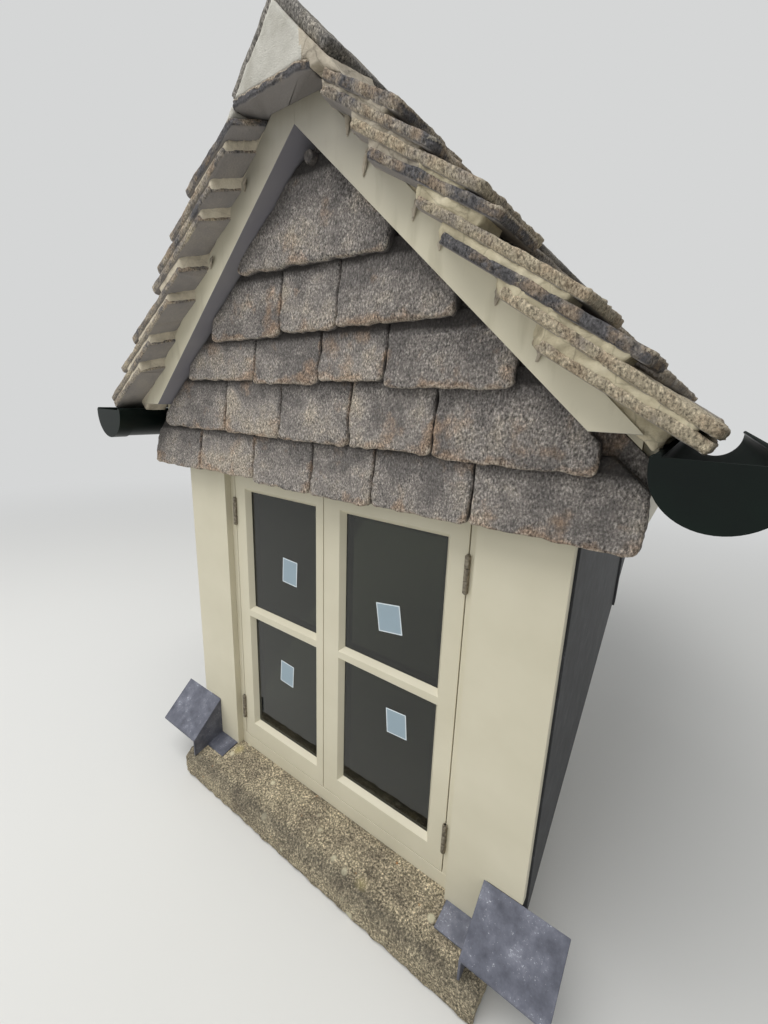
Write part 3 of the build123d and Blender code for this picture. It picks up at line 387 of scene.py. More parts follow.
# Float glass: a green-brown cast, darkened to paint the shade of the room behind, and mirror smooth
GLASS = new_material("float_glass", {"Roughness": 0.0, "IOR": 1.5, "Base Color": linear("#6C7064"),
                                     "Transmission Weight": 1.0, "Specular IOR Level": 0.3})[0]
SPACER = plain("grey_green_glazing_spacer", "#6A6C5C", 0.5, 30, 0.04)
STICKER = plain("pale_blue_paper", "#95A7B1", 0.6, 20, 0.03)
STICKER_RIM = plain("white_paper_rim", "#DCE4E7", 0.6, 20, 0.02)
PINE = sawn_pine()
PLASTER = plain("white_emulsion_on_plaster", "#DEDBD2", 0.8, 120, 0.03)
BOARD_PAINT = plain("white_satin_paint", "#DDD9CC", 0.45, 90, 0.02)


# Pieces made from points and from solids

def new_object(name, data):
    """An object of that data, in the scene."""
    made = bpy.data.objects.new(name, data)
    bpy.context.scene.collection.objects.link(made)
    return made


def modify(piece, name, kind, **settings):
    """Adds a modifier with its settings."""
    modifier = piece.modifiers.new(name, kind)
    for key, value in settings.items():
        setattr(modifier, key, value)


def finish_piece(name, mesh, material, nodes, smooth):
    """An object of a mesh, that rides with the frame and stands for the nodes. Edges below
    the angle smooth, in degrees, are shaded smooth."""
    if smooth:
        mesh.shade_smooth()
        mesh.set_sharp_from_angle(angle=math.radians(smooth))
    piece = new_object(name, mesh)
    mesh.materials.append(material)
    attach(piece, "root")
    if nodes:
        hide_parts(*nodes)
    return piece


def new_pile():
    """Points and faces, with how worn and how pale each point is."""
    return {"points": [], "faces": [], "wear": [], "tone": []}


def make_piece(name, pile, material, nodes=(), smooth=50.0):
    """A piece of a pile of points and faces."""
    mesh = bpy.data.meshes.new(name)
    mesh.from_pydata(pile["points"], [], pile["faces"])
    for key in ("wear", "tone"):
        if pile[key]:
            values = mesh.attributes.new(key, "FLOAT", "POINT")
            values.data.foreach_set("value", pile[key])
    return finish_piece(name, mesh, material, nodes, smooth)


def mesh_of(name, shape):
    """A mesh of a bmesh, which is used up."""
    mesh = bpy.data.meshes.new(name)
    shape.to_mesh(mesh)
    shape.free()
    return mesh


def shape_piece(name, shape, material, nodes=(), smooth=40.0):
    """A piece of a bmesh."""
    return finish_piece(name, mesh_of(name, shape), material, nodes, smooth)


def band(above, below):
    """The faces between two closed rings of as many points."""
    size = len(above)
    return [(above[(i + 1) % size], above[i], below[i], below[(i + 1) % size]) for i in range(size)]


def add_solid(shape, front, back):
    """A solid between two outlines of as many points."""
    rings = [[shape.verts.new(corner) for corner in outline] for outline in (front, back)]
    for face in [rings[0], rings[1][::-1]] + band(*rings):
        shape.faces.new(face)


def add_box(shape, low, high):
    """A box between two corners."""
    corners = [shape.verts.new((x, y, z)) for z in (low.z, high.z) for y in (low.y, high.y) for x in (low.x, high.x)]
    for loop in ((0, 2, 3, 1), (4, 5, 7, 6), (0, 1, 5, 4), (2, 6, 7, 3), (0, 4, 6, 2), (1, 3, 7, 5)):
        shape.faces.new([corners[i] for i in loop])


def gathered(node):
    """The solids of a node in one bmesh."""
    shape = bmesh.new()
    shape.from_mesh(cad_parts[node].data)
    bmesh.ops.remove_doubles(shape, verts=shape.verts, dist=1e-6)
    return shape


def islands(node):
    """Lowest and highest corner of each separate body of a node."""
    shape = gathered(node)
    left = set(shape.verts)
    boxes = []
    while left:
        front = [left.pop()]
        low, high = front[0].co.copy(), front[0].co.copy()
        while front:
            for edge in front.pop().link_edges:
                for vertex in edge.verts:
                    if vertex in left:
                        left.remove(vertex)
                        front.append(vertex)
                        low = Vector(map(min, low, vertex.co))
                        high = Vector(map(max, high, vertex.co))
        boxes.append((low, high))
    shape.free()
    return sorted(boxes, key=lambda box: (round(box[0].z, 3), round(box[0].x, 3)))


def weathered(name, shape, material, voxel, soften, rough, wave, nodes):
    """A bmesh's solids with worn arrises and an uneven face, as one piece. voxel is the mesh's
    size, rough how far the face wanders and wave over what distance, in millimetres."""
    raw = new_object(name + "_raw", mesh_of(name + "_raw", shape))
    modify(raw, "remesh", "REMESH", mode="VOXEL", voxel_size=voxel / 1000)
    modify(raw, "smooth", "SMOOTH", factor=0.5, iterations=soften)
    bpy.context.view_layer.update()
    made = bpy.data.meshes.new_from_object(raw.evaluated_get(bpy.context.evaluated_depsgraph_get()))
    bpy.data.objects.remove(raw)
    pile = new_pile()
    for vertex in made.vertices:
        spot = vertex.co * (1000 / wave)
        moved = vertex.co + vertex.normal * noise.fractal(spot, 0.9, 2.1, 4) * rough / 1000
        # it stays inside the CAD's box
        pile["points"].append(Vector([min(max(c, a), b) for c, a, b in zip(moved, cad_low, cad_high)]))
        pile["wear"].append(0.2 + 0.5 * abs(noise.noise(spot * 0.8)))
        pile["tone"].append(0.5)
    pile["faces"] = [tuple(face.vertices) for face in made.polygons]
    return make_piece(name, pile, material, nodes, 80.0)


def crumble(piece, where):
    """Mortar that has gone grey and crumbly over part of a piece."""
    piece.data.materials.append(CRUMBLED_MORTAR)
    for face in piece.data.polygons:
        if where(face.center):
            face.material_index = 1


def clip_to_main_roof(piece):
    """Cuts away what would lie inside the main roof, and closes the cut."""
    shape = bmesh.new()
    shape.from_mesh(piece.data)
    normal = Vector((0, math.sin(MAIN_PITCH), -math.cos(MAIN_PITCH)))
    cut = bmesh.ops.bisect_plane(shape, geom=shape.verts[:] + shape.edges[:] + shape.faces[:], dist=1e-6,
                                 plane_co=point(0, MAIN_START, 0), plane_no=normal, clear_outer=True)
    edges = [e for e in cut["geom_cut"] if isinstance(e, bmesh.types.BMEdge)]
    bmesh.ops.holes_fill(shape, edges=edges, sides=0)
    shape.to_mesh(piece.data)
    shape.free()


def dress(nodes, material, width):
    """CAD nodes that keep their shape get their finish and eased arrises of that width."""
    for node in nodes:
        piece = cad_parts[node]
        piece.data.materials.clear()
        piece.data.materials.append(material)
        if width:
            modify(piece, "weld", "WELD", merge_threshold=0.00002)
            modify(piece, "bevel", "BEVEL", width=width / 1000, segments=2, limit_method="ANGLE",
                   angle_limit=math.radians(32))
            modify(piece, "even", "WEIGHTED_NORMAL", weight=80)


# Split stone slates

# How far into its face a slate's outline makes itself felt, in millimetres: from its sides, from
# its foot, and from the side on which its head is cut back
SIDE_REACH = 30.0
FOOT_REACH = 45.0
SKEW_REACH = 60.0
# Rings of points down its broken edges: their height, as shares of the thickness, and how far
# each is worn back, in millimetres
EDGE_RINGS = ((0.8, 0.0), (0.6, 0.0), (0.4, 0.0), (0.2, 1.0), (0.0, 4.0))


def rounding(distance, radius):
    """How far a rounded arris of that radius lies below the face at a distance from it."""
    if distance >= radius or radius <= 0:
        return 0.0
    gap = (radius - distance) / radius
    return radius * (1 - math.sqrt(max(0.0, 1 - gap * gap)))


def spaced(length, radius, cell):
    """Places across a slate: close at both ends, for the arrises, and even between."""
    ends = [0.0, radius * 0.25, radius * 0.65, radius * 1.2, radius * 2.4]
    if length < 2.2 * ends[-1]:
        ends = [0.0, length * 0.1, length * 0.3]
    middle = length - 2 * ends[-1]
    count = max(1, round(middle / cell))
    inner = [ends[-1] + middle * i / count for i in range(1, count)]
    return ends + inner + [length - e for e in reversed(ends)]


def split_relief(x, y, spot, seed):
    """How far a split face lies above its plane, as a share of its roughness: it wanders, and
    it steps from one bed of the stone to the next."""
    bed = noise.noise(Vector((x / 70, y / 55, seed * 2.3 + 7))) * 3
    step = math.floor(bed) + min(1.0, (bed - math.floor(bed)) * 6)
    return noise.fractal(spot, 0.8, 2.1, 5) + 0.35 * step


def face_wear(spot, to_side, from_foot, from_head, head_wear):
    """How worn a face is: most at its foot and its lower corners, and a little along its
    sides and at its head. Distances are in millimetres."""
    foot = 0.9 - from_foot / (9 + 36 * max(0.0, noise.noise(spot * 1.3) + 0.2))
    reach = 26 + 90 * max(0.0, noise.noise(spot * 0.7 + Vector((9, 0, 0))))
    corner = 1 - math.hypot(to_side, from_foot) / reach
    return min(1.0, max(0.0, foot, corner, 0.45 * (1 - to_side / 7), head_wear * (1 - from_head / 14)))


def add_slate(pile, place, left, right, low, high, thick_low, thick_high, tone, seed, rough=1.6, radius=5.0,
              corner=12.0, ragged=3.0, cell=7.0, broken=1.1, tilt=0.0, skew=0.0, head_wear=0.3, head_shade=0.0,
              rim_wear=None):
    """One split stone slate in its own axes, in millimetres: x across it, y up its face and z
    out of the face. left and right give its sides at a height, and place turns its axes to the
    frame. Its sides and foot wander by ragged, its face by rough and its edges, seen from the
    side, by broken. cell is the mesh's size. tilt lifts its left foot, and skew cuts back its
    head on the left, or on the right where it is below nothing. head_shade is how much painted
    shade darkens it towards the course above, by lowering its tone, and rim_wear the wear of its
    edges, which is uneven if it isn't given."""
    wide, tall = right(low) - left(low), high - low
    columns, rows = spaced(wide, radius, cell), spaced(tall, radius, cell)
    start = len(pile["points"])
    grid = []
    for row in rows:
        a, b = left(low + row), right(low + row)
        rise = row / tall
        for column in columns:
            share = column / wide
            to_side = min(share, 1 - share) * (b - a)
            on_left = share < 0.5
            sway = noise.fractal(Vector((seed * 7.1, (low + row) / 30, 3.0 if on_left else 9.0)), 0.8, 2.1, 3)
            x = a + (b - a) * share + sway * ragged * max(0.0, 1 - to_side / SIDE_REACH) * (1 if on_left else -1)
            foot = noise.fractal(Vector((x / 30, seed * 3.7, 0.0)), 0.8, 2.2, 4) * ragged * 1.3
            foot += rounding(to_side, corner) * (0.7 + 0.6 * noise.noise(Vector((seed, share * 2, 5.0))))
            y = low + row + foot * max(0.0, 1 - row / FOOT_REACH) + tilt * (1 - share) * (1 - rise)
            from_end = (share if skew > 0 else 1 - share) * (b - a)
            y -= abs(skew) * max(0.0, 1 - from_end / SKEW_REACH) * rise ** 3
            spot = Vector((x / 45, y / 45, seed * 1.9))
            z = thick_low + (thick_high - thick_low) * rise + split_relief(x, y, spot, seed) * rough
            # flakes have come off the arrises, mostly at the foot
            flake = max(0.0, noise.noise(Vector((x / 19, y / 19, seed + 40.0))) - 0.05)
            drop = rounding(min(to_side, row, tall - row), radius * (0.7 + 1.6 * flake))
            drop += flake * max(0.0, 1 - row / 26) * radius * 1.2
            grid.append((x, y, max(z - drop, 0.35 * min(thick_low, thick_high))))
            pile["wear"].append(face_wear(spot, to_side, row, tall - row, head_wear))
            # painted shade: the tone falls towards the course above, most in the 13 mm just below its foot
            shade = max(0.0, rise - 0.45 + 0.3 * noise.noise(spot)) / 0.4 + 1.6 * max(0.0, 1 - (tall - row - 22) / 13)
            pile["tone"].append(tone - head_shade * shade)
    pile["points"] += [place @ (Vector(spot) / 1000) for spot in grid]
    count = len(columns)
    for j in range(len(rows) - 1):
        for i in range(count - 1):
            first = start + j * count + i
            pile["faces"].append((first, first + 1, first + 1 + count, first + count))
    close_slate(pile, place, grid, count, len(rows), start, seed, broken, head_wear, rim_wear)
    pile["tone"] += [tone] * (len(pile["points"]) - len(pile["tone"]))


def close_slate(pile, place, grid, across, up, start, seed, broken, head_wear, rim_wear):
    """The broken edges and the back of a slate whose face is a grid of across by up points."""
    rim = list(range(across)) + [j * across + across - 1 for j in range(1, up)]
    rim += [(up - 1) * across + i for i in range(across - 2, -1, -1)] + [j * across for j in range(up - 2, 0, -1)]
    ring = [start + i for i in rim]
    for level, worn_back in EDGE_RINGS:
        above, ring = ring, []
        for i in rim:
            x, y, z = grid[i]
            row, column = divmod(i, across)
            shift = noise.noise_vector(Vector((x / 8, y / 8, level * 4 + seed))) * broken * (1 if level else 0.4)
            back = worn_back * (0.7 + 0.6 * noise.noise(Vector((x / 14, y / 14, seed))))
            x += back * ((column == 0) - (column == across - 1))
            y += back * ((row == 0) - (row == up - 1))
            ring.append(len(pile["points"]))
            pile["points"].append(place @ (Vector((x + shift.x, y + shift.y, z * level)) / 1000))
            uneven = 0.45 + 0.5 * noise.noise(Vector((x / 30, y / 30, seed))) if rim_wear is None else rim_wear
            pile["wear"].append(max(head_wear if row == up - 1 else -1.0, uneven) if level else -1.0)
        pile["faces"] += band(above, ring)
    pile["faces"].append(tuple(reversed(ring)))


# The gable: feet of the courses of hung slates, and where their slates meet, from left to right
GABLE_COURSES = (
    ((852, 855, 847, 846, 849, 852), (-603, -392, -181, 2, 160, 359, 603)),
    ((957, 956, 954, 955, 951), (-538, -278, -88, 102, 284, 538)),
    ((1074, 1066, 1073, 1062), (-412, -168, 26, 182, 411)),
    ((1158, 1164, 1167), (-308, -80, 72, 308)),
    ((1277,), (-204, 183)),
)
GABLE_TONES = ((0.36, 0.66, 0.5, 0.56, 0.42, 0.46), (0.36, 0.56, 0.5, 0.64, 0.34), (0.52, 0.42, 0.62, 0.4),
               (0.34, 0.58, 0.44), (0.34,))
GABLE_LAP = 22.0
TOP_SLATE_HEAD = 1456.0
HALF_JOINT = 1.6
RAKE_GAP = 5.0
# How far a hung slate's face stands off the panel at its foot and at its head
HUNG_FOOT_OUT, HUNG_HEAD_OUT = 34.0, 17.0


def hung_slates():
    """Five courses of slates, cut to the rake; the one at the top hangs a little askew."""
    pile = new_pile()
    place = Matrix(((1, 0, 0, 0), (0, 0, -1, BARGE_BACK / 1000), (0, 1, 0, SILL_HEIGHT / 1000), (0, 0, 0, 1)))
    last = len(GABLE_COURSES) - 1
    for course, (feet, joints) in enumerate(GABLE_COURSES):
        head = TOP_SLATE_HEAD if course == last else GABLE_COURSES[course + 1][0][0] + GABLE_LAP
        for i, foot in enumerate(feet):
            a = joints[i] + (HALF_JOINT if i else 0)
            b = joints[i + 1] - (HALF_JOINT if i + 1 < len(feet) else 0)
            # head_shade paints shade on each slate towards the course above, and rim_wear below nothing gives the
            # edges the stone's dark underside colour, a painted shade under their feet
            add_slate(pile, place, lambda y, a=a: max(a, RAKE_GAP - rake_x(y)),
                      lambda y, b=b: min(b, rake_x(y) - RAKE_GAP), foot, head, HUNG_FOOT_OUT, HUNG_HEAD_OUT,
                      GABLE_TONES[course][i], course * 11 + i * 3 + 1, rough=2.4, corner=13, ragged=2.8, cell=8.0,
                      broken=2.0, tilt=8 if course == last else 0, head_shade=0.5, head_wear=0.0, rim_wear=-0.8)
    return make_piece("hung_slates", pile, HUNG_STONE, ("gable_slates",), 60)


def gable_backing():
    """The dark layer behind the hung slates, seen in their joints and beside their ends."""
    pile = new_pile()
    half, foot = 600, 853
    top = APEX_HEIGHT + 28
    eaves = top - half * math.tan(PITCH)
    outline = [(-half, foot), (half, foot), (half, eaves), (0, top), (-half, eaves)]
    for y in (-0.5, BARGE_BACK + 0.1):
        pile["points"] += [point(x, y, z) for x, z in outline]
    size = len(outline)
    front, back = range(size), range(size, 2 * size)
    pile["faces"] += [tuple(front), tuple(reversed(back))] + band(front, back)
    pile["tone"] = [0.2] * len(pile["points"])
    pile["wear"] = [0.0] * len(pile["points"])
    return make_piece("slate_backing", pile, HUNG_STONE)


# Verge slates of each side: where the head is down the slope and the offset of its underside,
# the same of the tail, tone, seed, reach into the house
VERGE_SLATES = {
    1: (
        (50, 70, 236, 108, 0.3, 1, 60),
        (60, 55, 316, 103, 0.35, 2, 20),
        (140, 50, 410, 104, 0.75, 3, 120),
        (191, 38, 455, 97, 0.1, 4, 10),
        (303, 40, 606, 98, 0.8, 5, 80),
        (368, 29, 703, 95, 0.08, 6, 20),
        (483, 34, 806, 90, 0.9, 7, 100),
        (567, 22, 811, 73, 0.9, 8, 10),
    ),
    -1: (
        (38, 60, 236, 108, 0.15, 11, 60),
        (80, 52, 330, 103, 0.5, 12, 20),
        (148, 46, 410, 104, 0.4, 13, 120),
        (203, 40, 455, 97, 0.5, 14, 10),
        (317, 37, 606, 98, 0.4, 15, 80),
        (396, 33, 703, 95, 0.5, 16, 20),
        (520, 37, 806, 90, 0.45, 17, 100),
        (601, 30, 811, 73, 0.6, 18, 10),
    ),
}
VERGE_THICK = 13.0
HEAD_SKEW = 34.0
SIDE_NAMES = {1: "right", -1: "left"}
# Top, left and right end of the slate that caps the apex under the ridge stone
CAP_HEIGHT, CAP_LEFT, CAP_RIGHT = 1514.0, -108.0, 76.0


def slope_place(side, head, head_offset, tail, tail_offset):
    """The axes of a slate on a slope: x along the house, y up the slope, z out of the roof.
    On the left slope x points to the front, so that the axes stay right-handed."""
    low = slope_point(side, tail, tail_offset, 0)
    high = slope_point(side, head, head_offset, 0)
    up = (high - low).normalized()
    across = Vector((0, side, 0))
    columns = Matrix((across, up, across.cross(up))).transposed()
    return Matrix.Translation(low) @ columns.to_4x4(), (high - low).length * 1000


def verge_slates(side):
    """The projecting slates of a verge; the left one lies in the lee and has kept its edges."""
    pile = new_pile()
    if side > 0:
        habit = {"rough": 1.8, "radius": 3.5, "ragged": 3.0, "broken": 2.2, "head_wear": 0.9, "rim_wear": None}
    else:
        habit = {"rough": 1.0, "radius": 2.5, "ragged": 1.5, "broken": 0.9, "head_wear": 0.5, "rim_wear": 0.3}
    for head, head_offset, tail, tail_offset, tone, seed, reach in VERGE_SLATES[side]:
        place, length = slope_place(side, head, head_offset, tail, tail_offset)
        front, back = (VERGE_FRONT, reach) if side > 0 else (-reach, -VERGE_FRONT)
        add_slate(pile, place, lambda y, v=front: v, lambda y, v=back: v, 0, length, VERGE_THICK + 2, VERGE_THICK,
                  tone, seed * 4.7, skew=HEAD_SKEW * side, **habit)
    if side < 0:
        cap = Matrix.Translation((0, 0, (CAP_HEIGHT + SILL_HEIGHT) / 1000))
        add_slate(pile, cap, lambda y: CAP_LEFT, lambda y: CAP_RIGHT, VERGE_FRONT + 6, BARGE_BACK, 14, 14, -0.05, 77,
                  radius=4, corner=14, ragged=5.0, broken=2.4, rim_wear=-0.1)
    name = SIDE_NAMES[side]
    return make_piece("verge_slates_worn_" + name, pile, VERGE_STONE, ("verge_slates_" + name,), 60)


def underside(slate, along):
    """The offset of a verge slate's underside at a place along the slope."""
    head, head_offset, tail, tail_offset = slate[:4]
    return head_offset + (tail_offset - head_offset) * (along - head) / (tail - head)


def add_bed(shape, side, outline, front, back, skewed=()):
    """A bed of mortar along Y of an outline of (along, offset) points on a slope. The corners
    whose numbers are in skewed lie further down at the front, as the slates' heads do."""
    shifts = [HEAD_SKEW * (i in skewed) for i in range(len(outline))]
    add_solid(shape, [slope_point(side, along + shift, offset + 0.2 * shift, front)
                      for (along, offset), shift in zip(outline, shifts)],
              [slope_point(side, along, offset, back) for along, offset in outline])


def verge_mortar(side):
    """Mortar between the verge slates, proud of the barge board, and the bed on that board."""
    shape = bmesh.new()
    slates = VERGE_SLATES[side]
    for upper, lower in zip(slates, slates[1:]):
        head, end = lower[0], upper[2] - 22
        outline = [(head - 17, underside(upper, head - 17) + 1), (end, underside(upper, end) + 4),
                   (end, underside(lower, end) + VERGE_THICK - 4), (head + 14, underside(lower, head + 14) + 5),
                   (head, underside(lower, head) + 1)]
        # nearly flush in the lower half, raked back further up
        set_back = 3 if head > 350 else 4
        add_bed(shape, side, outline, VERGE_FRONT + set_back, BARGE_FRONT + 12, (0, 3, 4))
    for slate, end in zip(slates, [slate[0] for slate in slates[1:]] + [BARGE_FOOT]):
        outline = [(slate[0], DECK_TOP - 4), (end, DECK_TOP - 4), (end, underside(slate, end) + 4),
                   (slate[0], underside(slate, slate[0]) + 4)]
        add_bed(shape, side, outline, BARGE_FRONT + 3, BARGE_BACK)
    bmesh.ops.recalc_face_normals(shape, faces=shape.faces)
    # the left verge's mortar is painted paler: light in that verge's shade
    material, rough = (MORTAR, 3.0) if side > 0 else (SMEARED_MORTAR_PAINTED_LIGHT, 1.0)
    name = SIDE_NAMES[side]
    piece = weathered("verge_mortar_rough_" + name, shape, material, 3.5, 1, rough, 16,
                      ("verge_mortar_" + name,))
    if side > 0:
        crumble(piece, lambda spot: spot.x < 0.27 + 0.12 * noise.noise(spot * 22))
    return piece


# Smears of mortar that hang down the face of the barge boards from the heads of the slates:
# x and height of the top and of the tip
SMEARS = (((124, 1462), (118, 1436)), ((165, 1404), (151, 1374)), ((259, 1322), (246, 1297)),
          ((306, 1271), (293, 1251)), ((396, 1192), (386, 1171)), ((460, 1118), (451, 1097)),
          ((-127, 1430), (-136, 1414)), ((-243, 1315), (-258, 1297)))
SMEAR_RADIUS = 5.5


def mortar_smears():
    """Smears that hang from the heads of the verge slates down the barge boards."""
    pile = new_pile()
    steps, around = 14, 10
    for number, ((x0, top), (x1, tip)) in enumerate(SMEARS):
        start = len(pile["points"])
        for j in range(steps + 1):
            share = j / steps
            middle = point(x0 + (x1 - x0) * share ** 0.6, BARGE_FRONT - 6 * (1 - share), top + (tip - top) * share)
            size = SMEAR_RADIUS * (1 - 0.6 * share) * (1 if 0 < j < steps else 0.4)
            for k in range(around):
                turn = 2 * math.pi * k / around
                lump = 1 + 0.7 * noise.noise(Vector((number * 3.3, share * 4, k * 0.7)))
                across = Vector((math.cos(turn), 0.35 * math.sin(turn), math.sin(turn)))
                pile["points"].append(middle + across * size * lump / 1000)
        for j in range(steps):
            a = start + j * around
            for k in range(around):
                m = (k + 1) % around
                pile["faces"].append((a + k, a + m, a + m + around, a + k + around))
        pile["faces"].append(tuple(start + k for k in reversed(range(around))))
        pile["faces"].append(tuple(start + steps * around + k for k in range(around)))
    return make_piece("mortar_smears", pile, CRUMBLED_MORTAR)


# Courses of the roof slates, from the ridge down: how far down the slope the first tail is, how
# far apart the tails are, and where each course starts behind the verge slates. The last is
# the short course under the eaves course.
FIRST_TAIL = 141.4
GAUGE = 95.0
COURSE_STARTS = (-12, 62, 10, 122, 70, 82, 30, 102, -12)
SLATE_LENGTH, SHORT_LENGTH = 240.0, 206.0
# The offset of the underside of a slate's tail, and how much closer to the roof its head is
TAIL_OFFSET, SHORT_TAIL_OFFSET, HEAD_DROP = 88.0, 70.0, 43.0


def roof_slates(side):
    """Courses of slates of random widths, each lapped by the course above."""
    draw = random.Random(40 + side)
    pile = new_pile()
    last = len(COURSE_STARTS) - 1
    for course, y in enumerate(COURSE_STARTS):
        under = course == last
        tail = FIRST_TAIL + GAUGE * min(course, last - 1) + (5 if under else 0)
        offset = SHORT_TAIL_OFFSET if under else TAIL_OFFSET
        length = SHORT_LENGTH if under else min(SLATE_LENGTH, tail + 60)
        reach = main_reach(APEX_HEIGHT - (tail - length) * math.sin(PITCH) + 110)
        while y < reach:
            wide = draw.uniform(130, 330)
            lift = draw.uniform(-1.0, 2.0)
            drop = draw.uniform(-5, 5)
            place, long = slope_place(side, tail + drop - length, offset - HEAD_DROP * length / SLATE_LENGTH + lift,
                                      tail + drop, offset + lift)
            a, b = (y + 2, y + wide - 2) if side > 0 else (2 - y - wide, -y - 2)
            add_slate(pile, place, lambda v, a=a: a, lambda v, b=b: b, 0, long, 17, 13, draw.uniform(0.2, 0.85),
                      draw.uniform(0, 900), cell=30.0)
            y += wide
    name = SIDE_NAMES[side]
    piece = make_piece("roof_slates_lapped_" + name, pile, ROOF_STONE, ("roof_slates_" + name,), 60)
    clip_to_main_roof(piece)
    return piece


# The thick arris of the front ridge stone: how far back it goes, how far in its ends are from
# the stone's, and how far below the top of the ridge its upper and lower edges are
ARRIS_DEPTH, ARRIS_INSET, ARRIS_UPPER, ARRIS_LOWER = 100.0, 14.0, 12.0, 30.0


def ridge_top():
    """The height of the ridge stones' arris above the sill, in millimetres."""
    return max(v.co.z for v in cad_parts["ridge_stones"].data.vertices) * 1000 - SILL_HEIGHT


def ridge_stones():
    """The ridge stones, with the front one thickened below where it shows beside the mortar."""
    shape = gathered("ridge_stones")
    top = ridge_top()
    front = min(v.co.y for v in shape.verts) * 1000
    foot = max(v.co.x for v in shape.verts) * 1000 - ARRIS_INSET
    upper, lower, fall = top - ARRIS_UPPER, top - ARRIS_LOWER, foot * RIDGE_FALL
    outline = [(0, upper), (foot, upper - fall), (foot, lower - fall), (0, lower)]
    for side in (1, -1):
        add_solid(shape, *([point(side * x, y, z) for x, z in outline] for y in (front, front + ARRIS_DEPTH)))
    bmesh.ops.recalc_face_normals(shape, faces=shape.faces)
    return shape


def ridge_infill():
    """The mortar under the ridge, its front kept below the thick arris of the front stone."""
    shape = gathered("ridge_mortar")
    top = ridge_top() + SILL_HEIGHT - ARRIS_LOWER + 3
    front = min(v.co.y for v in shape.verts)
    for vertex in shape.verts:
        if vertex.co.y < front + 0.03:
            vertex.co.z = min(vertex.co.z, (top - abs(vertex.co.x) * 1000 * RIDGE_FALL) / 1000)
    return shape


# noise_vector shapes the slates' broken edges and the bolt; its seed is set so that every run gives
# the same ones
noise.seed_set(1)
hung_slates()
gable_backing()
for side in (1, -1):
    verge_slates(side)
    roof_slates(side)
    verge_mortar(side)
mortar_smears()
infill = weathered("ridge_mortar_smooth", ridge_infill(), RIDGE_MORTAR, 5.0, 2, 1.6, 50,
                   ("ridge_mortar",))
crumble(infill, lambda spot: spot.x > 0.06 + 0.012 * noise.noise(spot * 60))
weathered("ridge_stones_worn", ridge_stones(), RIDGE_STONE, 6.0, 2, 2.0, 45, ("ridge_stones",))
weathered("stone_sill_worn", gathered("stone_sill"), SILL_STONE, 5.0, 2, 3.0, 26, ("stone_sill",))

# CAD nodes that keep their shape: their finish, and how far their arrises are eased
dress(("frame_sill", "frame_head", "frame_jamb_left", "frame_jamb_right", "face_board_left", "face_board_right",
       "eaves_box_left", "eaves_box_right"), PAINT, 1.2)
dress(("sash_left", "sash_right"), PAINT, 0.8)
dress(("glazing_beads",), PAINT, 0.5)
dress(("barge_board_left", "barge_board_right"), BARGE_PAINT, 0.5)
dress(("cheek_lead_left", "cheek_lead_right"), CHEEK_LEAD, 1.0)
dress(("corner_lead_left", "corner_lead_right"), SADDLE_LEAD, 1.0)
dress(("gutter_left", "gutter_right", "gutter_brackets"), GUTTER_PAINT, 0.8)
dress(("lintel", "cheek_frame_left", "cheek_frame_right", "rafters"), PINE, 1.5)
dress(("cheek_boarding_left", "cheek_boarding_right", "roof_boarding_left", "roof_boarding_right", "gable_panel"),
      PINE, 0)
dress(("cheek_lining_left", "cheek_lining_right", "ceiling"), PLASTER, 0)
dress(("window_board",), BOARD_PAINT, 1.5)


# Glazing, hinges and the bolt, in metres

SHEET = 0.004
SPACER_WIDTH = 0.015
KNUCKLE_RADIUS, BUTTON_RADIUS, PIN_RADIUS = 0.0055, 0.0038, 0.003
BUTTON = 0.003
HALF_LEAF = 0.0008


def double_glazing():
    """Two sheets of glass a pane, with the spacer that holds them apart."""
    glass, bars = bmesh.new(), bmesh.new()
    for low, high in islands("glass_panes"):
        add_box(glass, low, Vector((high.x, low.y + SHEET, high.z)))
        add_box(glass, Vector((low.x, high.y - SHEET, low.z)), high)
        x0, x1 = low.x + SPACER_WIDTH, high.x - SPACER_WIDTH
        z0, z1 = low.z + SPACER_WIDTH, high.z - SPACER_WIDTH
        y0, y1 = low.y + SHEET + 0.0001, high.y - SHEET - 0.0001
        for a, b, foot, head in ((low.x, high.x, low.z, z0), (low.x, high.x, z1, high.z), (low.x, x0, z0, z1),
                                 (x1, high.x, z0, z1)):
            add_box(bars, Vector((a, y0, foot)), Vector((b, y1, head)))
    shape_piece("glass_sheets", glass, GLASS, ("glass_panes",))
    shape_piece("glass_spacers", bars, SPACER)


def hinges():
    """Butt hinges: three knuckles on a pin with button ends, and the leaf in the gap."""
    shape = bmesh.new()
    for low, high in islands("hinges"):
        x, y = (low.x + high.x) / 2, low.y + KNUCKLE_RADIUS
        add_box(shape, Vector((x - HALF_LEAF, y, low.z)), Vector((x + HALF_LEAF, high.y, high.z)))
        third = (high.z - low.z - 0.006) / 3
        # radius, foot and length of the knuckles, the buttons and the pin
        parts = [(KNUCKLE_RADIUS, low.z + 0.002 + i * (third + 0.001), third) for i in range(3)]
        parts += [(BUTTON_RADIUS, low.z, BUTTON), (BUTTON_RADIUS, high.z - BUTTON, BUTTON),
                  (PIN_RADIUS, low.z, high.z - low.z)]
        for radius, foot, length in parts:
            made = bmesh.ops.create_cone(shape, cap_ends=True, segments=20, radius1=radius, radius2=radius,
                                         depth=length, matrix=Matrix.Translation((x, y, foot + length / 2)))
            caps = [e for v in made["verts"] for e in v.link_edges if abs(e.verts[0].co.z - e.verts[1].co.z) < 1e-6]
            bmesh.ops.bevel(shape, geom=list(set(caps)), offset=0.0006, segments=2, affect="EDGES", profile=0.5)
    shape_piece("hinge_knuckles", shape, STEEL, ("hinges",))


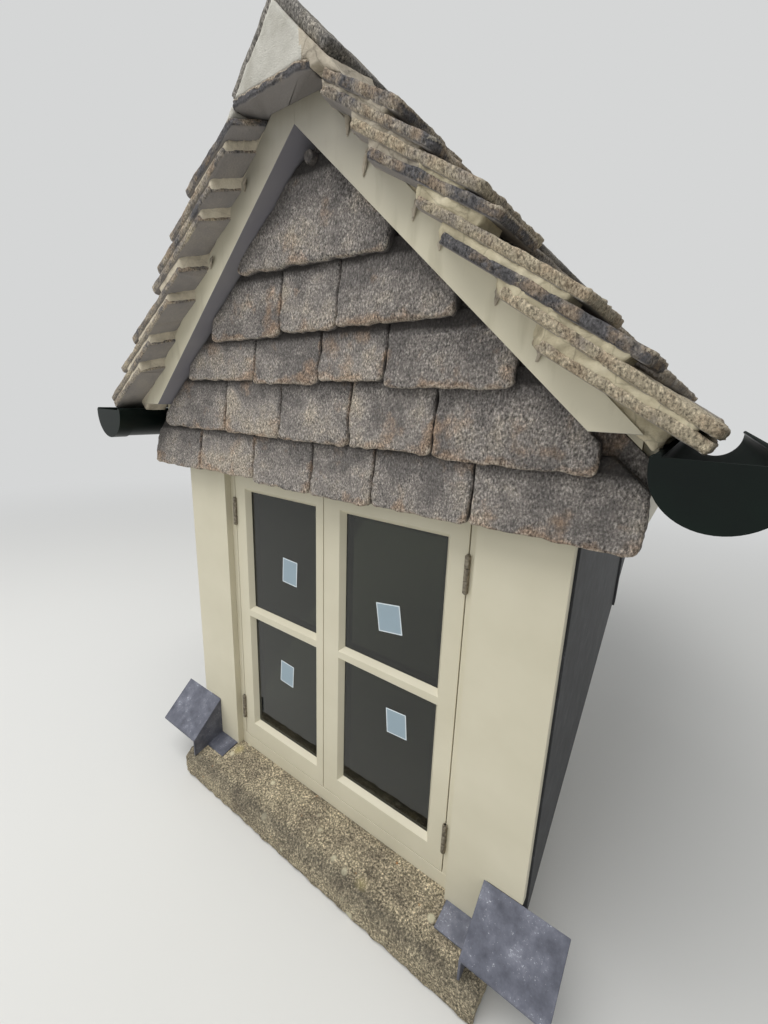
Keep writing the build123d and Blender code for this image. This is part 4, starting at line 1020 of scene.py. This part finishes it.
def apex_bolt():
    """The round bolt head over the point of the top slate."""
    shape = bmesh.new()
    place = Matrix.Translation(point(6, -36, 1447)) @ Matrix.Rotation(math.radians(90), 4, "X")
    radius = 0.011
    bmesh.ops.create_cone(shape, cap_ends=True, segments=24, radius1=radius, radius2=radius, depth=2 * radius)
    bmesh.ops.bevel(shape, geom=shape.edges[:], offset=0.003, segments=3, affect="EDGES", profile=0.6)
    bmesh.ops.transform(shape, matrix=place, verts=shape.verts)
    for vertex in shape.verts:
        vertex.co += noise.noise_vector(vertex.co * 160) * 0.0009
    shape_piece("apex_bolt_head", shape, BOLT_IRON)


double_glazing()
hinges()
apex_bolt()

# Blank labels on the glass: middle x, middle height, width, height, turn in degrees
STICKERS = ((-148, 611, 52, 66, 3), (162, 587, 62, 66, -9), (-166, 311, 50, 64, 4), (193, 338, 54, 62, -5))
GLASS_FRONT = 32.0


def sticker(number, x, height, wide, tall, turn):
    """A label: its face lies on a slightly larger sheet, whose edge shows as a white rim."""
    for part, grow, out, material in (("rim", 0, 0.3, STICKER_RIM), ("face", -5, 0.5, STICKER)):
        shape = bmesh.new()
        bmesh.ops.create_grid(shape, x_segments=6, y_segments=6, size=0.5)
        spread = Matrix.Diagonal(((wide + grow) / 1000, (tall + grow) / 1000, 1, 1))
        turned = Matrix.Rotation(math.radians(turn), 4, "Y") @ Matrix.Rotation(math.radians(90), 4, "X")
        bmesh.ops.transform(shape, matrix=turned @ spread, verts=shape.verts)
        bmesh.ops.translate(shape, vec=point(x, GLASS_FRONT - out, height), verts=shape.verts)
        bmesh.ops.solidify(shape, geom=shape.faces[:], thickness=0.0002)
        shape_piece(f"sticker_{part}_{number}", shape, material, smooth=0)


for number, values in enumerate(STICKERS):
    sticker(number, *values)

# Stage, light and camera

BACKDROP = "#D5D6D6"


def seen_rays(tree):
    """One for the rays that show the place itself: to the camera, in gloss and through glass."""
    rays = add(tree, "LightPath").outputs
    gloss = add(tree, "Math", {0: rays["Is Camera Ray"], 1: rays["Is Glossy Ray"]}, operation="MAXIMUM")
    return add(tree, "Math", {0: gloss, 1: rays["Is Transmission Ray"]}, operation="MAXIMUM").outputs[0]


def studio_floor():
    """A matt pale floor that passes into the backdrop's colour from 1.8 to 6 metres away."""
    material = plain("pale_floor", "#D9D8D4", 0.8, 800, 0.01)
    tree = material.node_tree
    place = add(tree, "TexCoord").outputs["Object"]
    distance = add(tree, "VectorMath", {0: place}, operation="LENGTH")
    away = add(tree, "MapRange", {"Value": distance, "From Min": 1.8, "From Max": 6.0},
               interpolation_type="SMOOTHSTEP")
    share = add(tree, "Math", {0: away, 1: seen_rays(tree)}, operation="MULTIPLY")
    backdrop = add(tree, "Emission", {"Color": linear(BACKDROP)})
    both = add(tree, "MixShader", {0: share, 1: tree.nodes["Principled BSDF"], 2: backdrop})
    join(tree.nodes["Material Output"], {"Surface": both})
    return material


floor_mesh = bpy.data.meshes.new("floor")
floor_mesh.from_pydata([(-30, -30, 0), (30, -30, 0), (30, 30, 0), (-30, 30, 0)], [], [(0, 1, 2, 3)])
floor = new_object("floor", floor_mesh)
floor.location.z = -0.002
floor_mesh.materials.append(studio_floor())

# Even, slightly cool light from all round, and the backdrop's colour where it is seen
world = bpy.data.worlds.new("studio")
bpy.context.scene.world = world
world.use_nodes = True
sky = world.node_tree.nodes["Background"]
join(sky, {"Color": linear("#F2F5F8"), "Strength": 0.53})
backdrop = add(world.node_tree, "Background", {"Color": linear(BACKDROP)})
mixed = add(world.node_tree, "MixShader", {0: seen_rays(world.node_tree), 1: sky, 2: backdrop})
join(world.node_tree.nodes["World Output"], {"Surface": mixed})


def soft_box(name, place, aim, size, energy):
    """A square lamp of that size in metres and energy in watts."""
    lamp = bpy.data.lights.new(name, "AREA")
    lamp.shape = "RECTANGLE"
    lamp.size = lamp.size_y = size
    lamp.energy = energy
    holder = new_object(name, lamp)
    holder.location = place
    holder.rotation_mode = "QUATERNION"
    holder.rotation_quaternion = (Vector(aim) - Vector(place)).to_track_quat("-Z", "Y")


soft_box("overhead", (-0.6, -1.6, 5.2), (0, 0.2, 1.0), 4.0, 215)
soft_box("front_left", (-3.6, -3.6, 2.6), (0, 0, 0.9), 2.5, 40)

# The photograph's camera, worked out from the window's upright and level lines: its rows point
# to the right, down and ahead in the picture
camera_data = bpy.data.cameras.new("camera")
camera_data.sensor_width = 36.0
camera_data.lens = 15.49
camera_data.clip_start = 0.02
camera = new_object("camera", camera_data)
right = Vector((0.8071, 0.5894, 0.0345))
down = Vector((0.1711, -0.1776, -0.9691))
ahead = Vector((-0.5651, 0.7881, -0.2442))
turn = Matrix((right, -down, -ahead)).transposed().to_4x4()
camera.matrix_world = Matrix.Translation((0.649, -0.680, 1.130)) @ turn
bpy.context.scene.camera = camera
bpy.context.scene.view_settings.view_transform = "Standard"

bpy.context.view_layer.update()
